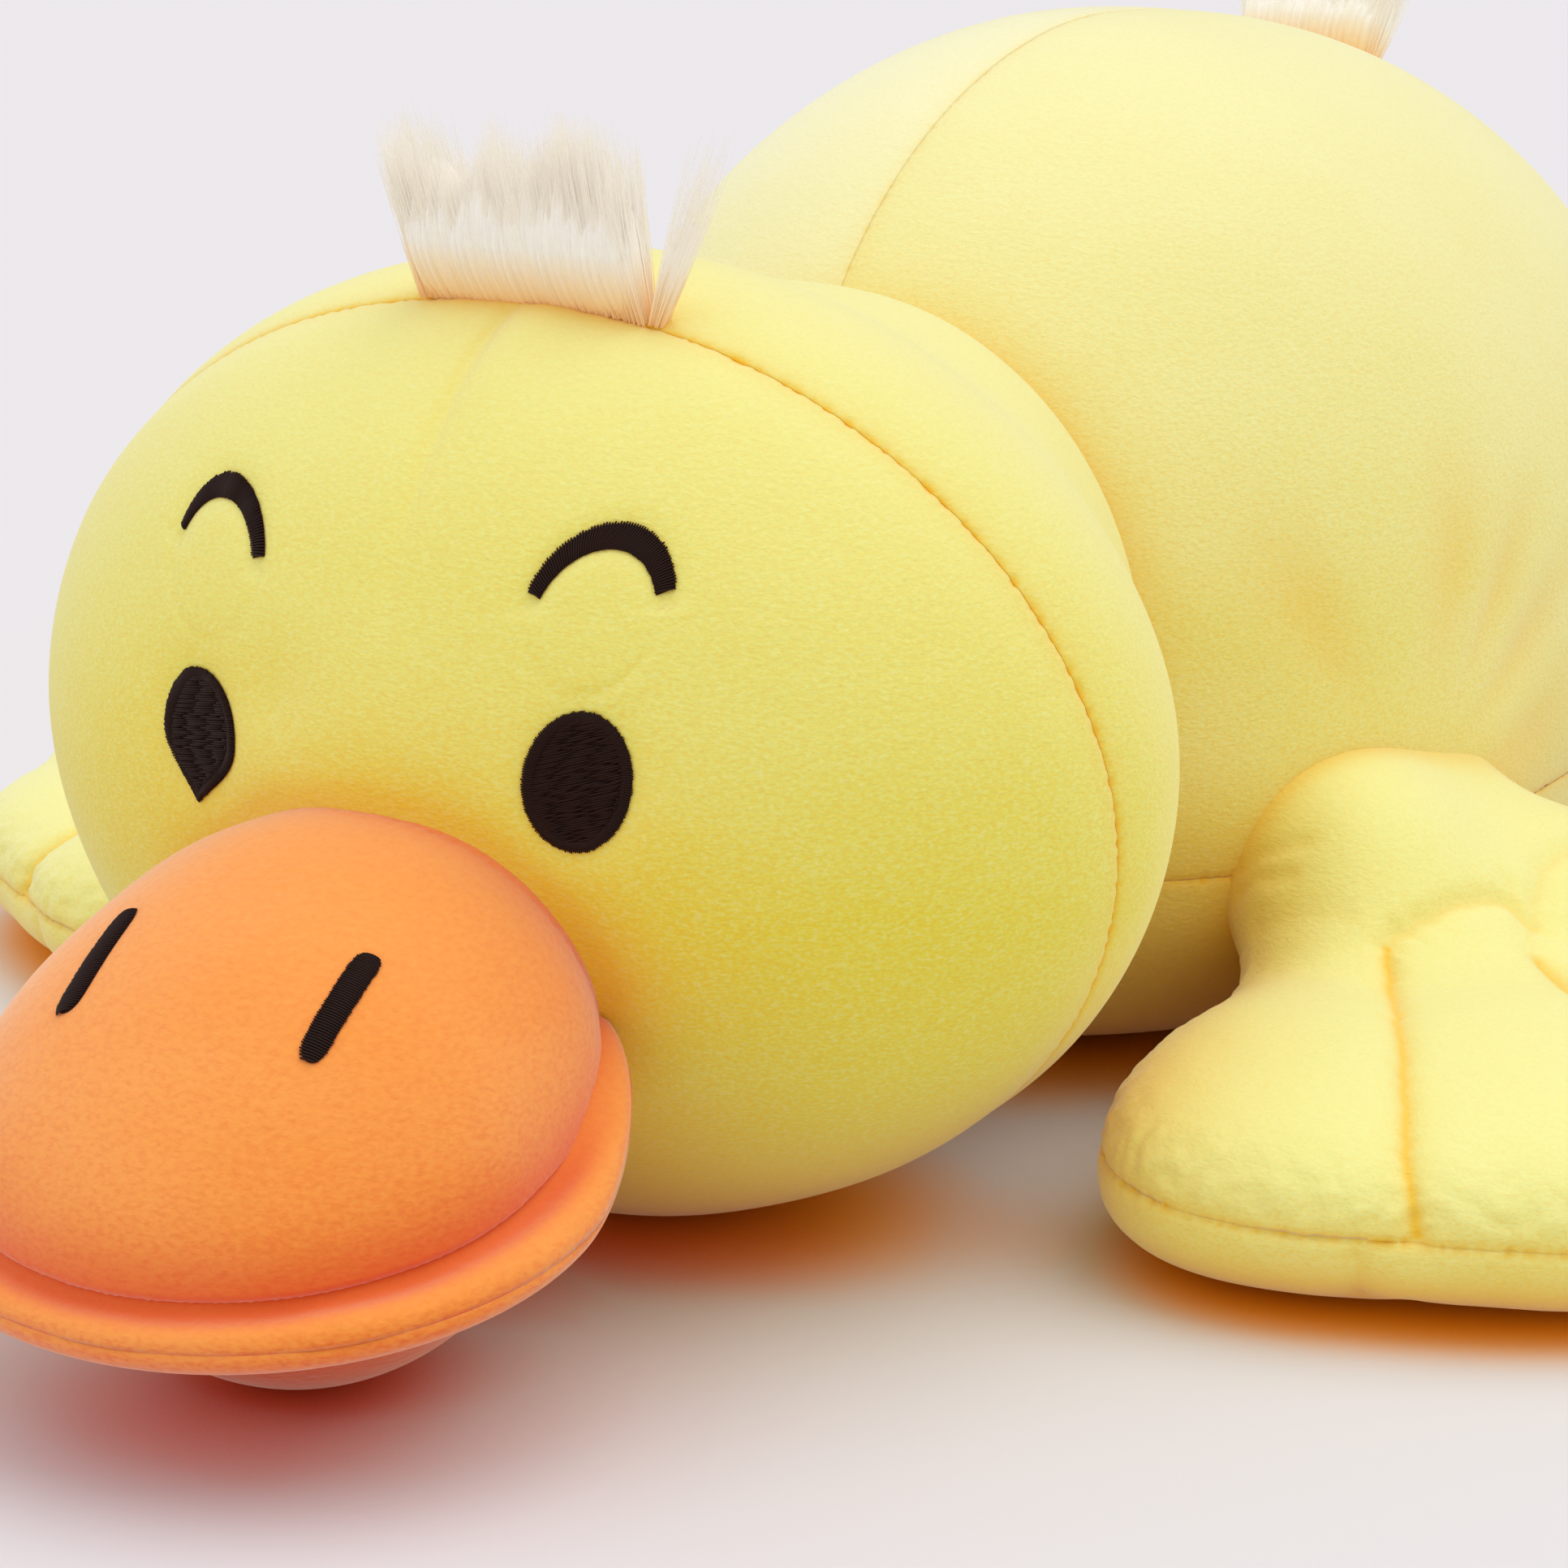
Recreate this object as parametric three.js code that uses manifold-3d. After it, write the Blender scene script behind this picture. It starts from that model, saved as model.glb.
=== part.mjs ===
// Plush duck lying on its belly: sewn plush panels over loose stuffing. Lengths are in millimetres.
// The duck faces -Y, its left side is +X and up is +Z. The origin is on the floor under the body's middle.
import * as THREE from "three";
import { mergeVertices } from "three/addons/utils/BufferGeometryUtils.js";
import Module from "manifold-3d";

const wasm = await Module();
wasm.setup();

const degree = Math.PI / 180;

// Cloth, seams and cuts
const clothThickness = 2.4;
const seamGap = 0.3; // between pieces that touch
const restDepth = 0.5; // how far a soft form is cut flat on the floor
const cutOverrun = 420; // reaches past the whole duck

// Body: an egg lying down, its blunt end forward and its belly full
const bodyHalfWidth = 91;
const bodyFront = 108; // from the body's middle to its front end
const bodyRear = 161;
const bodyUpperHeight = 99.5; // from the body's middle line up to the back
const bodyLowerHeight = 81.5; // from the body's middle line down to the belly
const bodyLowFullness = 3.6; // over 2 squares up the lower half
const neckAhead = 91.3; // the neck seam, ahead of the body's middle
const neckRimDepth = 1; // the part of the body that the back of the head is drawn to
const sideSeamDrop = 38.5; // the belly panel's seam, below the body's middle line

// Head: a wide egg that leans forward and looks a little to its left
const headHalfWidth = 95;
const headHalfDepth = 68;
const headHalfHeight = 78;
const headReach = 69.2; // from the neck seam to the head's middle
const headAside = 5.2;
const headTilt = 13 * degree;
const headTurn = 7 * degree;
const ringSeamAhead = 8.8; // the ear to ear seam, ahead of the head's middle

// Bill: a domed top on a lower bill whose rim rolls out as a lip
const billAhead = 95; // from the head's middle to the bill's widest place
const billHalfWidth = 46;
const billFront = 41;
const billBack = 59;
const billDomeHeight = 36.5;
const billDomeRiseShare = 0.29; // the dome grows by this towards the face
const mouthHeight = 37.5; // the mouth line above the floor at the bill's widest place
const mouthAngle = 11.3 * degree; // the mouth line falls forward
const lipOut = 7; // how far the lip stands out past the dome
const lipFront = 4;
const lipBack = 52;
const lipHeight = 8;
const lipUnderHeight = 9;
const mouthShare = 0.5; // the mouth line's place on the lip's height
const jawAhead = 84; // the lower bill's bulge, from the head's middle
const jawHalfWidth = 43;
const jawFront = 34;
const jawBack = 44;
const mouthSlope = Math.tan(mouthAngle);

// Face: embroidery
const threadThickness = 1.2;
const eyeAside = 33;
const eyeUp = 24.5; // above the head's middle, along its leaning upright
const eyeHalfWidth = 7.9;
const eyeHalfHeight = 9.8;
const browAside = 32.6;
const browUp = 46.6;
const browRadius = 9;
const browHalfAngle = 76 * degree;
const browWidth = 3.6;
const nostrilAside = 20.3;
const nostrilAhead = 104.6; // ahead of the head's middle
const nostrilHalfLength = 9.5;
const nostrilWidth = 3.6;

// Fur tufts
const headTuftAside = 2; // the tuft sits a little to the left of the head's middle
const headTuftHalfWidth = 19;
const headTuftHeight = 25;
const headTuftDepth = 8;
const headTuftLocks = 6;
const headTuftFlare = 2; // how much wider the tips are on each side
const headTuftLockDepth = 5;
const headTuftRoot = 12; // how far the strip reaches down before the head cuts it
const headTuftSideLockOut = 12; // one lock at the duck's left stands apart and leans out
const headTuftSideLockHeight = 27;
const headTuftSideLockWidth = 5;
const tailTuftBehind = 79; // behind the body's middle
const tailTuftHalfWidth = 15;
const tailTuftHeight = 24;
const tailTuftDepth = 9;
const tailTuftLocks = 4;
const tailTuftFlare = 4;
const tailTuftLockDepth = 5;
const tailTuftRoot = 10;

// Wings: three stuffed lobes in a fan, on an arm that comes down from the shoulder
const wingPalmAside = 103;
const wingPalmAhead = 59;
const wingFanTurn = 46 * degree; // from straight ahead, outwards
const wingLobeSpread = 35 * degree;
const wingReach = 96; // from the palm to the lobes' tips
const wingLobeFront = 52;
const wingLobeBack = 58;
const wingLobeHalfWidth = 34;
const wingLobeUpper = 19;
const wingLobeLower = 17.5;
const wingLobeFullness = 2.4;
const wingSeamRise = 9; // the rim seam climbs by this from the tips to the palm
const wingArmAside = 88;
const wingArmAhead = 39;
const wingArmHeight = 33;
const wingArmHalfLength = 46;
const wingArmHalfWidth = 36;
const wingArmHalfThickness = 19;
const wingArmFullness = 2.6;
const wingArmTurn = 62 * degree;
const wingArmDroop = 40 * degree;
const wingHingeAside = 84; // the fold at the top of the arm's seam
const wingHingeHeight = 67;

// Feet: small webbed pads that lie behind the body
const footPalmAside = 66;
const footPalmBehind = 106;
const footFanTurn = 140 * degree;
const footToeSpread = 30 * degree;
const footReach = 64;
const footToeFront = 34;
const footToeBack = 40;
const footToeHalfWidth = 22;
const footToeUpper = 11;
const footToeLower = 12.5;
const footToeFullness = 2.4;
const footSeamRise = 2;
const footAnkleAside = 64;
const footAnkleBehind = 104;
const footAnkleHeight = 22;
const footAnkleHalfLength = 26;
const footAnkleHalfWidth = 22;
const footAnkleHalfThickness = 12.5;
const footAnkleTurn = 134 * degree;
const footAnkleDroop = 15 * degree;
const footHingeAside = 64; // the fold at the top of the ankle's seam
const footHingeBehind = 106;
const footHingeHeight = 38;
const neckHingeHeight = 135.5; // the fold at the top of the neck seam

// Facets round each form
const wideFacets = [32, 16];
const headFacets = [28, 14];
const innerFacets = [16, 10];
const billFacets = [20, 10];
const billInnerFacets = [12, 8];
const lobeFacets = [12, 8];
const lobeInnerFacets = [8, 6];
const toeFacets = [12, 6];
const toeInnerFacets = [8, 4];
const arcFacets = 8;

// Places that follow from the sizes
const neckY = -neckAhead;
const bodyMiddleHeight = bodyLowerHeight - restDepth;
const headMiddleY = neckY - headReach;
const lipMiddleHeight = mouthHeight - lipHeight * mouthShare;
const jawMiddleHeight = lipMiddleHeight + (billAhead - jawAhead) * mouthSlope;
const jawDepth = Math.sqrt((jawMiddleHeight + restDepth) ** 2 - (mouthSlope * jawFront) ** 2);

// A place in the duck's frame: leaned about its own X, then turned about Z, then moved.
function place(x, y, z, turn = 0, lean = 0) {
  const rotation = new THREE.Quaternion().setFromEuler(new THREE.Euler(lean, 0, turn, "ZYX"));
  return new THREE.Matrix4().compose(new THREE.Vector3(x, y, z), rotation, new THREE.Vector3(1, 1, 1));
}

// A closed geometry as a solid, placed in the duck's frame.
function solid(geometry, matrix) {
  const bare = geometry.clone();
  bare.deleteAttribute("normal");
  bare.deleteAttribute("uv");
  bare.applyMatrix4(matrix);
  const merged = mergeVertices(bare);
  const vertProperties = merged.getAttribute("position").array;
  const triVerts = new Uint32Array(merged.index.array);
  return new wasm.Manifold(new wasm.Mesh({ numProp: 3, vertProperties, triVerts }));
}

// An egg about its own middle. Each half axis has its own length, and a fullness over 2 squares it up.
// A low fullness squares up the profile of the lower half alone.
function egg(form, facets, grow = 0) {
  const geometry = new THREE.SphereGeometry(1, facets[0], facets[1]);
  const points = geometry.getAttribute("position");
  const fullness = form.fullness ?? 2;
  for (let i = 0; i < points.count; i += 1) {
    const [x, y, z] = [points.getX(i), points.getY(i), points.getZ(i)];
    const power = z < 0 && form.lowFullness ? form.lowFullness : fullness;
    const flat = form.lowFullness ? Math.hypot(x, y) ** power : Math.abs(x) ** power + Math.abs(y) ** power;
    const size = (flat + Math.abs(z) ** power) ** (1 / power);
    const along = (y / size) * ((y < 0 ? form.front : form.back) + grow);
    const high = (z / size) * ((z < 0 ? form.lower : form.upper) + grow);
    const rise = z < 0 ? 1 : 1 + ((form.riseShare ?? 0) * along) / form.front;
    points.setXYZ(i, (x / size) * (form.side + grow), along, high * rise + (form.slope ?? 0) * along);
  }
  return geometry;
}

// A box that fills everything between two corners; null leaves that side open.
function region(low, high, matrix = new THREE.Matrix4()) {
  const from = low.map((value) => value ?? -cutOverrun);
  const to = high.map((value) => value ?? cutOverrun);
  const box = new THREE.BoxGeometry(to[0] - from[0], to[1] - from[1], to[2] - from[2]);
  box.translate((from[0] + to[0]) / 2, (from[1] + to[1]) / 2, (from[2] + to[2]) / 2);
  return solid(box, matrix);
}

function joined(solids) {
  return solids.reduce((whole, next) => whole.add(next));
}

const halfGap = seamGap / 2;
const aboveFloor = region([null, null, 0], [null, null, null]);
const neckPlace = place(0, neckY, 0, headTurn);
const behindNeck = region([null, halfGap, null], [null, null, null], neckPlace);
const beforeNeck = region([null, null, null], [null, -halfGap, null], neckPlace);
const neckRim = region([null, 0, null], [null, neckRimDepth, null], neckPlace);

// Cloth with its stuffing: the outer form, the space inside the cloth, and the stuffing a gap smaller.
function softForm(shape, outerFacets, liningFacets) {
  const outer = shape(outerFacets, 0);
  const lining = shape(liningFacets, -clothThickness);
  const stuffing = shape(liningFacets, -clothThickness - seamGap);
  return { outer, cloth: outer.subtract(lining), stuffing };
}

// The scene graph: one group for each part that moves, with its origin at its hinge.
const duck = new THREE.Group();
const groups = {
  torso: [0, 0, 0],
  head: [0, neckY, neckHingeHeight],
  leftWing: [wingHingeAside, -wingArmAhead, wingHingeHeight],
  rightWing: [-wingHingeAside, -wingArmAhead, wingHingeHeight],
  leftFoot: [footHingeAside, footHingeBehind, footHingeHeight],
  rightFoot: [-footHingeAside, footHingeBehind, footHingeHeight],
};
for (const [name, origin] of Object.entries(groups)) {
  const group = new THREE.Group();
  group.position.set(...origin);
  duck.add(group);
  group.updateMatrixWorld(true);
  groups[name] = group;
}

const finishes = {
  yellowPlush: { color: 0xeee47a, roughness: 0.95 },
  paleYellowPlush: { color: 0xf5ea94, roughness: 0.95 },
  orangePlush: { color: 0xff963c, roughness: 0.95 },
  creamFur: { color: 0xf4efe2, roughness: 0.9 },
  blackThread: { color: 0x1e1614, roughness: 0.55 },
  fibreFill: { color: 0xf7f6f2, roughness: 1 },
};

function add(groupName, name, made, finish) {
  const { vertProperties, triVerts } = made.getMesh();
  const geometry = new THREE.BufferGeometry();
  geometry.setAttribute("position", new THREE.BufferAttribute(vertProperties, 3));
  geometry.setIndex(new THREE.BufferAttribute(triVerts, 1));
  geometry.applyMatrix4(groups[groupName].matrixWorld.clone().invert());
  geometry.computeVertexNormals();
  const mesh = new THREE.Mesh(geometry, new THREE.MeshStandardMaterial({ ...finishes[finish], metalness: 0 }));
  mesh.name = name;
  groups[groupName].add(mesh);
}

// Body
const bodyForm = {
  side: bodyHalfWidth,
  front: bodyFront,
  back: bodyRear,
  upper: bodyUpperHeight,
  lower: bodyLowerHeight,
  lowFullness: bodyLowFullness,
};
const bodyPlace = place(0, 0, bodyMiddleHeight);
const bodyShape = (facets, grow) => solid(egg(bodyForm, facets, grow), bodyPlace);
const bodyClearance = bodyShape(wideFacets, seamGap);

function makeBody() {
  const body = softForm(bodyShape, wideFacets, innerFacets);
  const cloth = body.cloth.intersect(behindNeck).intersect(aboveFloor);
  const seamHeight = bodyMiddleHeight - sideSeamDrop;
  const leftTop = region([halfGap, null, seamHeight + halfGap], [null, null, null]);
  const rightTop = region([null, null, seamHeight + halfGap], [-halfGap, null, null]);
  const belly = region([null, null, null], [null, null, seamHeight - halfGap]);
  add("torso", "body_left_panel", cloth.intersect(leftTop), "paleYellowPlush");
  add("torso", "body_right_panel", cloth.intersect(rightTop), "paleYellowPlush");
  add("torso", "belly_panel", cloth.intersect(belly), "paleYellowPlush");
  add("torso", "body_stuffing", body.stuffing.intersect(behindNeck), "fibreFill");
}

// Head: its back narrows to the body's rim at the neck seam
const headForm = {
  side: headHalfWidth,
  front: headHalfDepth,
  back: headHalfDepth,
  upper: headHalfHeight,
  lower: headHalfHeight,
};
const leaningHead = egg(headForm, headFacets).applyMatrix4(place(0, 0, 0, headTurn, headTilt));
leaningHead.computeBoundingBox();
const headMiddleHeight = -leaningHead.boundingBox.min.z - restDepth;
const headPlace = place(headAside, headMiddleY, headMiddleHeight, headTurn, headTilt);
const headStand = place(headAside, headMiddleY, 0, headTurn);
const headShape = (facets, grow) => {
  const rim = bodyShape(facets, grow).intersect(neckRim);
  return wasm.Manifold.hull([solid(egg(headForm, facets, grow), headPlace), rim]);
};
const headClearance = headShape(headFacets, seamGap);

function makeHead() {
  const head = softForm(headShape, headFacets, innerFacets);
  const cloth = head.cloth.intersect(beforeNeck).intersect(aboveFloor);
  const face = region([null, null, null], [null, -ringSeamAhead - halfGap, null], headPlace);
  const nape = region([null, -ringSeamAhead + halfGap, null], [null, null, null], headPlace);
  add("head", "head_front_panel", cloth.intersect(face), "yellowPlush");
  add("head", "head_back_panel", cloth.intersect(nape), "yellowPlush");
  add("head", "head_stuffing", head.stuffing.intersect(beforeNeck), "fibreFill");
}

// Bill
const domeForm = {
  side: billHalfWidth,
  front: billFront,
  back: billBack,
  upper: billDomeHeight,
  lower: lipHeight,
  riseShare: billDomeRiseShare,
  slope: mouthSlope,
};
const lipForm = {
  side: billHalfWidth + lipOut,
  front: billFront + lipFront,
  back: lipBack,
  upper: lipHeight,
  lower: lipUnderHeight,
  slope: mouthSlope,
};
const jawForm = {
  side: jawHalfWidth,
  front: jawFront,
  back: jawBack,
  upper: lipHeight,
  lower: jawDepth,
  slope: mouthSlope,
};
const domePlace = headStand.clone().multiply(place(0, -billAhead, mouthHeight));
const lipPlace = headStand.clone().multiply(place(0, -billAhead, lipMiddleHeight));
const jawPlace = headStand.clone().multiply(place(0, -jawAhead, jawMiddleHeight));
const billShape = (facets, grow) =>
  joined([
    solid(egg(domeForm, facets, grow), domePlace),
    solid(egg(lipForm, facets, grow), lipPlace),
    solid(egg(jawForm, facets, grow), jawPlace),
  ]);

function makeBill() {
  const bill = softForm(billShape, billFacets, billInnerFacets);
  const cloth = bill.cloth.subtract(headClearance).intersect(aboveFloor);
  const mouthPlane = domePlace.clone().multiply(place(0, 0, 0, 0, mouthAngle));
  const lipPlane = lipPlace.clone().multiply(place(0, 0, 0, 0, mouthAngle));
  const overMouth = region([null, null, halfGap], [null, null, null], mouthPlane);
  const underMouth = region([null, null, null], [null, null, -halfGap], mouthPlane);
  const overRim = region([null, null, halfGap], [null, null, null], lipPlane);
  const underRim = region([null, null, null], [null, null, -halfGap], lipPlane);
  add("head", "bill_top_panel", cloth.intersect(overMouth), "orangePlush");
  add("head", "bill_lip_panel", cloth.intersect(underMouth).intersect(overRim), "orangePlush");
  add("head", "bill_under_panel", cloth.intersect(underRim), "orangePlush");
  add("head", "bill_stuffing", bill.stuffing.subtract(headClearance), "fibreFill");
}

// An outline in the XZ plane, pushed forward along -Y from the place it is drawn on.
function forwardPrism(outline, matrix) {
  const geometry = new THREE.ExtrudeGeometry(outline, {
    depth: cutOverrun,
    bevelEnabled: false,
    curveSegments: arcFacets,
  });
  geometry.rotateX(Math.PI / 2);
  return solid(geometry, matrix);
}

function ovalOutline(x, z, halfWidth, halfHeight) {
  return new THREE.Shape().absellipse(x, z, halfWidth, halfHeight, 0, 2 * Math.PI);
}

function archOutline(x, z, radius, width, halfAngle) {
  const outline = new THREE.Shape();
  const [start, end] = [Math.PI / 2 - halfAngle, Math.PI / 2 + halfAngle];
  outline.absarc(x, z, radius + width / 2, start, end, false);
  outline.absarc(x, z, radius - width / 2, end, start, true);
  return outline;
}

function barOutline(x, z, halfLength, width) {
  const outline = new THREE.Shape();
  const straight = halfLength - width / 2;
  outline.absarc(x, z + straight, width / 2, 0, Math.PI, false);
  outline.absarc(x, z - straight, width / 2, Math.PI, 2 * Math.PI, false);
  return outline;
}

// Face: thread pads of an even thickness that follow the cloth they are sewn on
function makeFace() {
  const headPad = headShape(headFacets, seamGap + threadThickness).subtract(headClearance);
  const billPad = billShape(billFacets, seamGap + threadThickness).subtract(billShape(billFacets, seamGap));
  const fromAbove = domePlace.clone().multiply(place(0, 0, 0, 0, -Math.PI / 2));
  for (const [side, hand] of [[1, "left"], [-1, "right"]]) {
    const eye = forwardPrism(ovalOutline(side * eyeAside, eyeUp, eyeHalfWidth, eyeHalfHeight), headPlace);
    const arch = archOutline(side * browAside, browUp, browRadius, browWidth, browHalfAngle);
    const brow = forwardPrism(arch, headPlace);
    const bar = barOutline(side * nostrilAside, billAhead - nostrilAhead, nostrilHalfLength, nostrilWidth);
    const nostril = forwardPrism(bar, fromAbove);
    add("head", `${hand}_eye`, headPad.intersect(eye), "blackThread");
    add("head", `${hand}_brow`, headPad.intersect(brow), "blackThread");
    add("head", `${hand}_nostril`, billPad.intersect(nostril), "blackThread");
  }
}

// A strip of fur seen from the front: a straight root that flares to pointed locks. A side lock
// can stand apart from them.
function tuftOutline(halfWidth, flare, root, height, locks, lockDepth, sideLock) {
  const outline = new THREE.Shape();
  outline.moveTo(-halfWidth, -root);
  outline.lineTo(halfWidth, -root);
  if (sideLock) {
    outline.lineTo(halfWidth, 0);
    outline.lineTo(halfWidth + sideLock.out, sideLock.height);
    outline.lineTo(halfWidth - sideLock.width, 0);
  }
  const tipStep = (2 * (halfWidth + flare)) / locks;
  for (let lock = 0; lock < locks; lock += 1) {
    const right = halfWidth + flare - lock * tipStep;
    outline.lineTo(right - tipStep / 4, height);
    if (lock < locks - 1) outline.lineTo(right - tipStep, height - lockDepth);
  }
  return outline;
}

function tuft(outline, depth, matrix) {
  const geometry = new THREE.ExtrudeGeometry(outline, { depth, bevelEnabled: false });
  geometry.rotateX(Math.PI / 2);
  geometry.translate(0, depth / 2, 0);
  return solid(geometry, matrix);
}

function makeTufts() {
  const headOutline = tuftOutline(
    headTuftHalfWidth,
    headTuftFlare,
    headTuftRoot,
    headTuftHeight,
    headTuftLocks,
    headTuftLockDepth,
    { out: headTuftSideLockOut, height: headTuftSideLockHeight, width: headTuftSideLockWidth },
  );
  const crown = headHalfHeight * Math.sqrt(1 - (ringSeamAhead / headHalfDepth) ** 2);
  const crownPlace = headPlace.clone().multiply(place(headTuftAside, -ringSeamAhead, crown));
  const headTuft = tuft(headOutline, headTuftDepth, crownPlace);
  add("head", "head_tuft", headTuft.subtract(headClearance), "creamFur");

  const tailOutline = tuftOutline(
    tailTuftHalfWidth,
    tailTuftFlare,
    tailTuftRoot,
    tailTuftHeight,
    tailTuftLocks,
    tailTuftLockDepth,
  );
  const along = tailTuftBehind / bodyRear;
  const rise = Math.sqrt(1 - along ** 2);
  const lean = Math.atan2(along / bodyRear, rise / bodyUpperHeight);
  const rump = place(0, tailTuftBehind, bodyMiddleHeight + bodyUpperHeight * rise, 0, -lean);
  const tailTuft = tuft(tailOutline, tailTuftDepth, rump);
  add("torso", "tail_tuft", tailTuft.subtract(bodyClearance), "creamFur");
}

// Limbs: three lobes in a fan, joined to an arm or ankle that meets the body
function limbShape(side, fan, stem) {
  return (facets, grow) => {
    const lobes = [-1, 0, 1].map((step) => {
      const turn = side * (fan.turn + step * fan.spread);
      const lobePlace = place(side * fan.x, fan.y, fan.form.lower - restDepth, turn);
      lobePlace.multiply(place(0, fan.form.front - fan.reach, 0));
      return solid(egg(fan.form, facets, grow), lobePlace);
    });
    const stemPlace = place(side * stem.x, stem.y, stem.z, side * stem.turn, stem.droop);
    return joined([...lobes, solid(egg(stem.form, facets, grow), stemPlace)]);
  };
}

const wingFan = {
  x: wingPalmAside,
  y: -wingPalmAhead,
  turn: wingFanTurn,
  spread: wingLobeSpread,
  reach: wingReach,
  seamRise: wingSeamRise,
  form: {
    side: wingLobeHalfWidth,
    front: wingLobeFront,
    back: wingLobeBack,
    upper: wingLobeUpper,
    lower: wingLobeLower,
    fullness: wingLobeFullness,
  },
};
const wingArm = {
  x: wingArmAside,
  y: -wingArmAhead,
  z: wingArmHeight,
  turn: wingArmTurn,
  droop: wingArmDroop,
  form: {
    side: wingArmHalfWidth,
    front: wingArmHalfLength,
    back: wingArmHalfLength,
    upper: wingArmHalfThickness,
    lower: wingArmHalfThickness,
    fullness: wingArmFullness,
  },
};
const footFan = {
  x: footPalmAside,
  y: footPalmBehind,
  turn: footFanTurn,
  spread: footToeSpread,
  reach: footReach,
  seamRise: footSeamRise,
  form: {
    side: footToeHalfWidth,
    front: footToeFront,
    back: footToeBack,
    upper: footToeUpper,
    lower: footToeLower,
    fullness: footToeFullness,
  },
};
const footAnkle = {
  x: footAnkleAside,
  y: footAnkleBehind,
  z: footAnkleHeight,
  turn: footAnkleTurn,
  droop: footAnkleDroop,
  form: {
    side: footAnkleHalfWidth,
    front: footAnkleHalfLength,
    back: footAnkleHalfLength,
    upper: footAnkleHalfThickness,
    lower: footAnkleHalfThickness,
  },
};

// A limb's seam runs round its rim, from the lobes' edge line up to the middle of its stem.
function makeLimb(groupName, names, side, fan, stem, facets, finish) {
  const limb = softForm(limbShape(side, fan, stem), facets[0], facets[1]);
  const trim = (piece) => piece.subtract(bodyClearance).subtract(headClearance).intersect(aboveFloor);
  const rimHeight = fan.form.lower - restDepth;
  const seamLean = Math.atan2(fan.seamRise, fan.reach);
  const tip = place(side * fan.x, fan.y, rimHeight, side * fan.turn);
  tip.multiply(place(0, -fan.reach, 0, 0, seamLean));
  const overSeam = region([null, null, halfGap], [null, null, null], tip);
  const underSeam = region([null, null, null], [null, null, -halfGap], tip);
  const cloth = trim(limb.cloth);
  add(groupName, names[0], cloth.intersect(overSeam), finish);
  add(groupName, names[1], cloth.intersect(underSeam), finish);
  add(groupName, names[2], trim(limb.stuffing), "fibreFill");
}

makeBody();
makeHead();
makeBill();
makeFace();
makeTufts();
for (const [side, hand] of [[1, "left"], [-1, "right"]]) {
  const wingNames = [`${hand}_wing_top_panel`, `${hand}_wing_under_panel`, `${hand}_wing_stuffing`];
  const footNames = [`${hand}_foot_top_panel`, `${hand}_foot_sole_panel`, `${hand}_foot_stuffing`];
  makeLimb(`${hand}Wing`, wingNames, side, wingFan, wingArm, [lobeFacets, lobeInnerFacets], "yellowPlush");
  makeLimb(`${hand}Foot`, footNames, side, footFan, footAnkle, [toeFacets, toeInnerFacets], "orangePlush");
}

export default duck;
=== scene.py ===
import math

import bmesh
import bpy
import numpy as np
from mathutils import Matrix, Vector, noise
from mathutils.kdtree import KDTree


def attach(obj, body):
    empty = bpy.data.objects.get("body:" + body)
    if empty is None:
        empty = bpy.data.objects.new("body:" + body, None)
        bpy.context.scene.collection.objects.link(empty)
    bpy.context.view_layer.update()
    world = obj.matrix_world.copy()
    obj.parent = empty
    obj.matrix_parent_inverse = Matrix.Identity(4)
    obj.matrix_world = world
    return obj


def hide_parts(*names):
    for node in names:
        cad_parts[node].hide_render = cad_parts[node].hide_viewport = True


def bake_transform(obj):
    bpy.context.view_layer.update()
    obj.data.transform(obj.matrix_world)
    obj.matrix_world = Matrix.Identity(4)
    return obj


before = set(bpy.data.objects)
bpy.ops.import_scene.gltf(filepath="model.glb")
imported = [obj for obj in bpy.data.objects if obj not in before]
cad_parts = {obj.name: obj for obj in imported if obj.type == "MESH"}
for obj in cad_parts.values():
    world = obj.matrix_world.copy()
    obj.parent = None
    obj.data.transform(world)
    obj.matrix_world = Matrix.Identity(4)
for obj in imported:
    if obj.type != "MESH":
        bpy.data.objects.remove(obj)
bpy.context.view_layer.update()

# Sizes below are in millimetres, in the duck's own frame: it faces -Y, its left is +X and the floor is z = 0.
mm = 0.001
degree = math.pi / 180

cloth = {
    "thickness": 1.2,
    "liningStep": 8,  # the inside of a panel is this many times coarser
}
seam = {
    "depth": 0.5,
    "roll": 1.8,  # the cloth rolls over into the seam within this distance
    "softDepth": 0.7,
    "softReach": 7.0,
    "pitch": 3.1,  # one stitch
    "pull": 0.4,
    "pullReach": 1.3,
    "line": 0.12,  # painted shade of the seam: how dark it is between its stitches, at their pits, and softly round it
    "stitch": 0.85,
    "glow": 0.2,
    "lineReach": 0.8,
    "paintedGlowReach": 3.0,
}


# measuring and moving points
def turning(turn, lean=0.0):
    c, s, k, n = math.cos(turn), math.sin(turn), math.cos(lean), math.sin(lean)
    aboutZ = np.array([[c, -s, 0], [s, c, 0], [0, 0, 1]])
    aboutX = np.array([[1, 0, 0], [0, k, -n], [0, n, k]])
    return aboutZ @ aboutX


def toDuck(points, rotation, origin):
    return points @ rotation.T + np.array(origin)


def toLocal(points, rotation, origin):
    return (points - np.array(origin)) @ rotation


def lengthOf(vectors):
    return np.sqrt(np.sum(vectors * vectors, axis=-1))


def unit(vectors):
    return vectors / np.maximum(lengthOf(vectors)[..., None], 1e-9)


def easedSteps(count, ends=0.75):  # 0 to 1, closer together at both ends
    s = np.linspace(0, 1, count)
    return (1 - ends) * s + ends * (0.5 - 0.5 * np.cos(np.pi * s))


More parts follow.
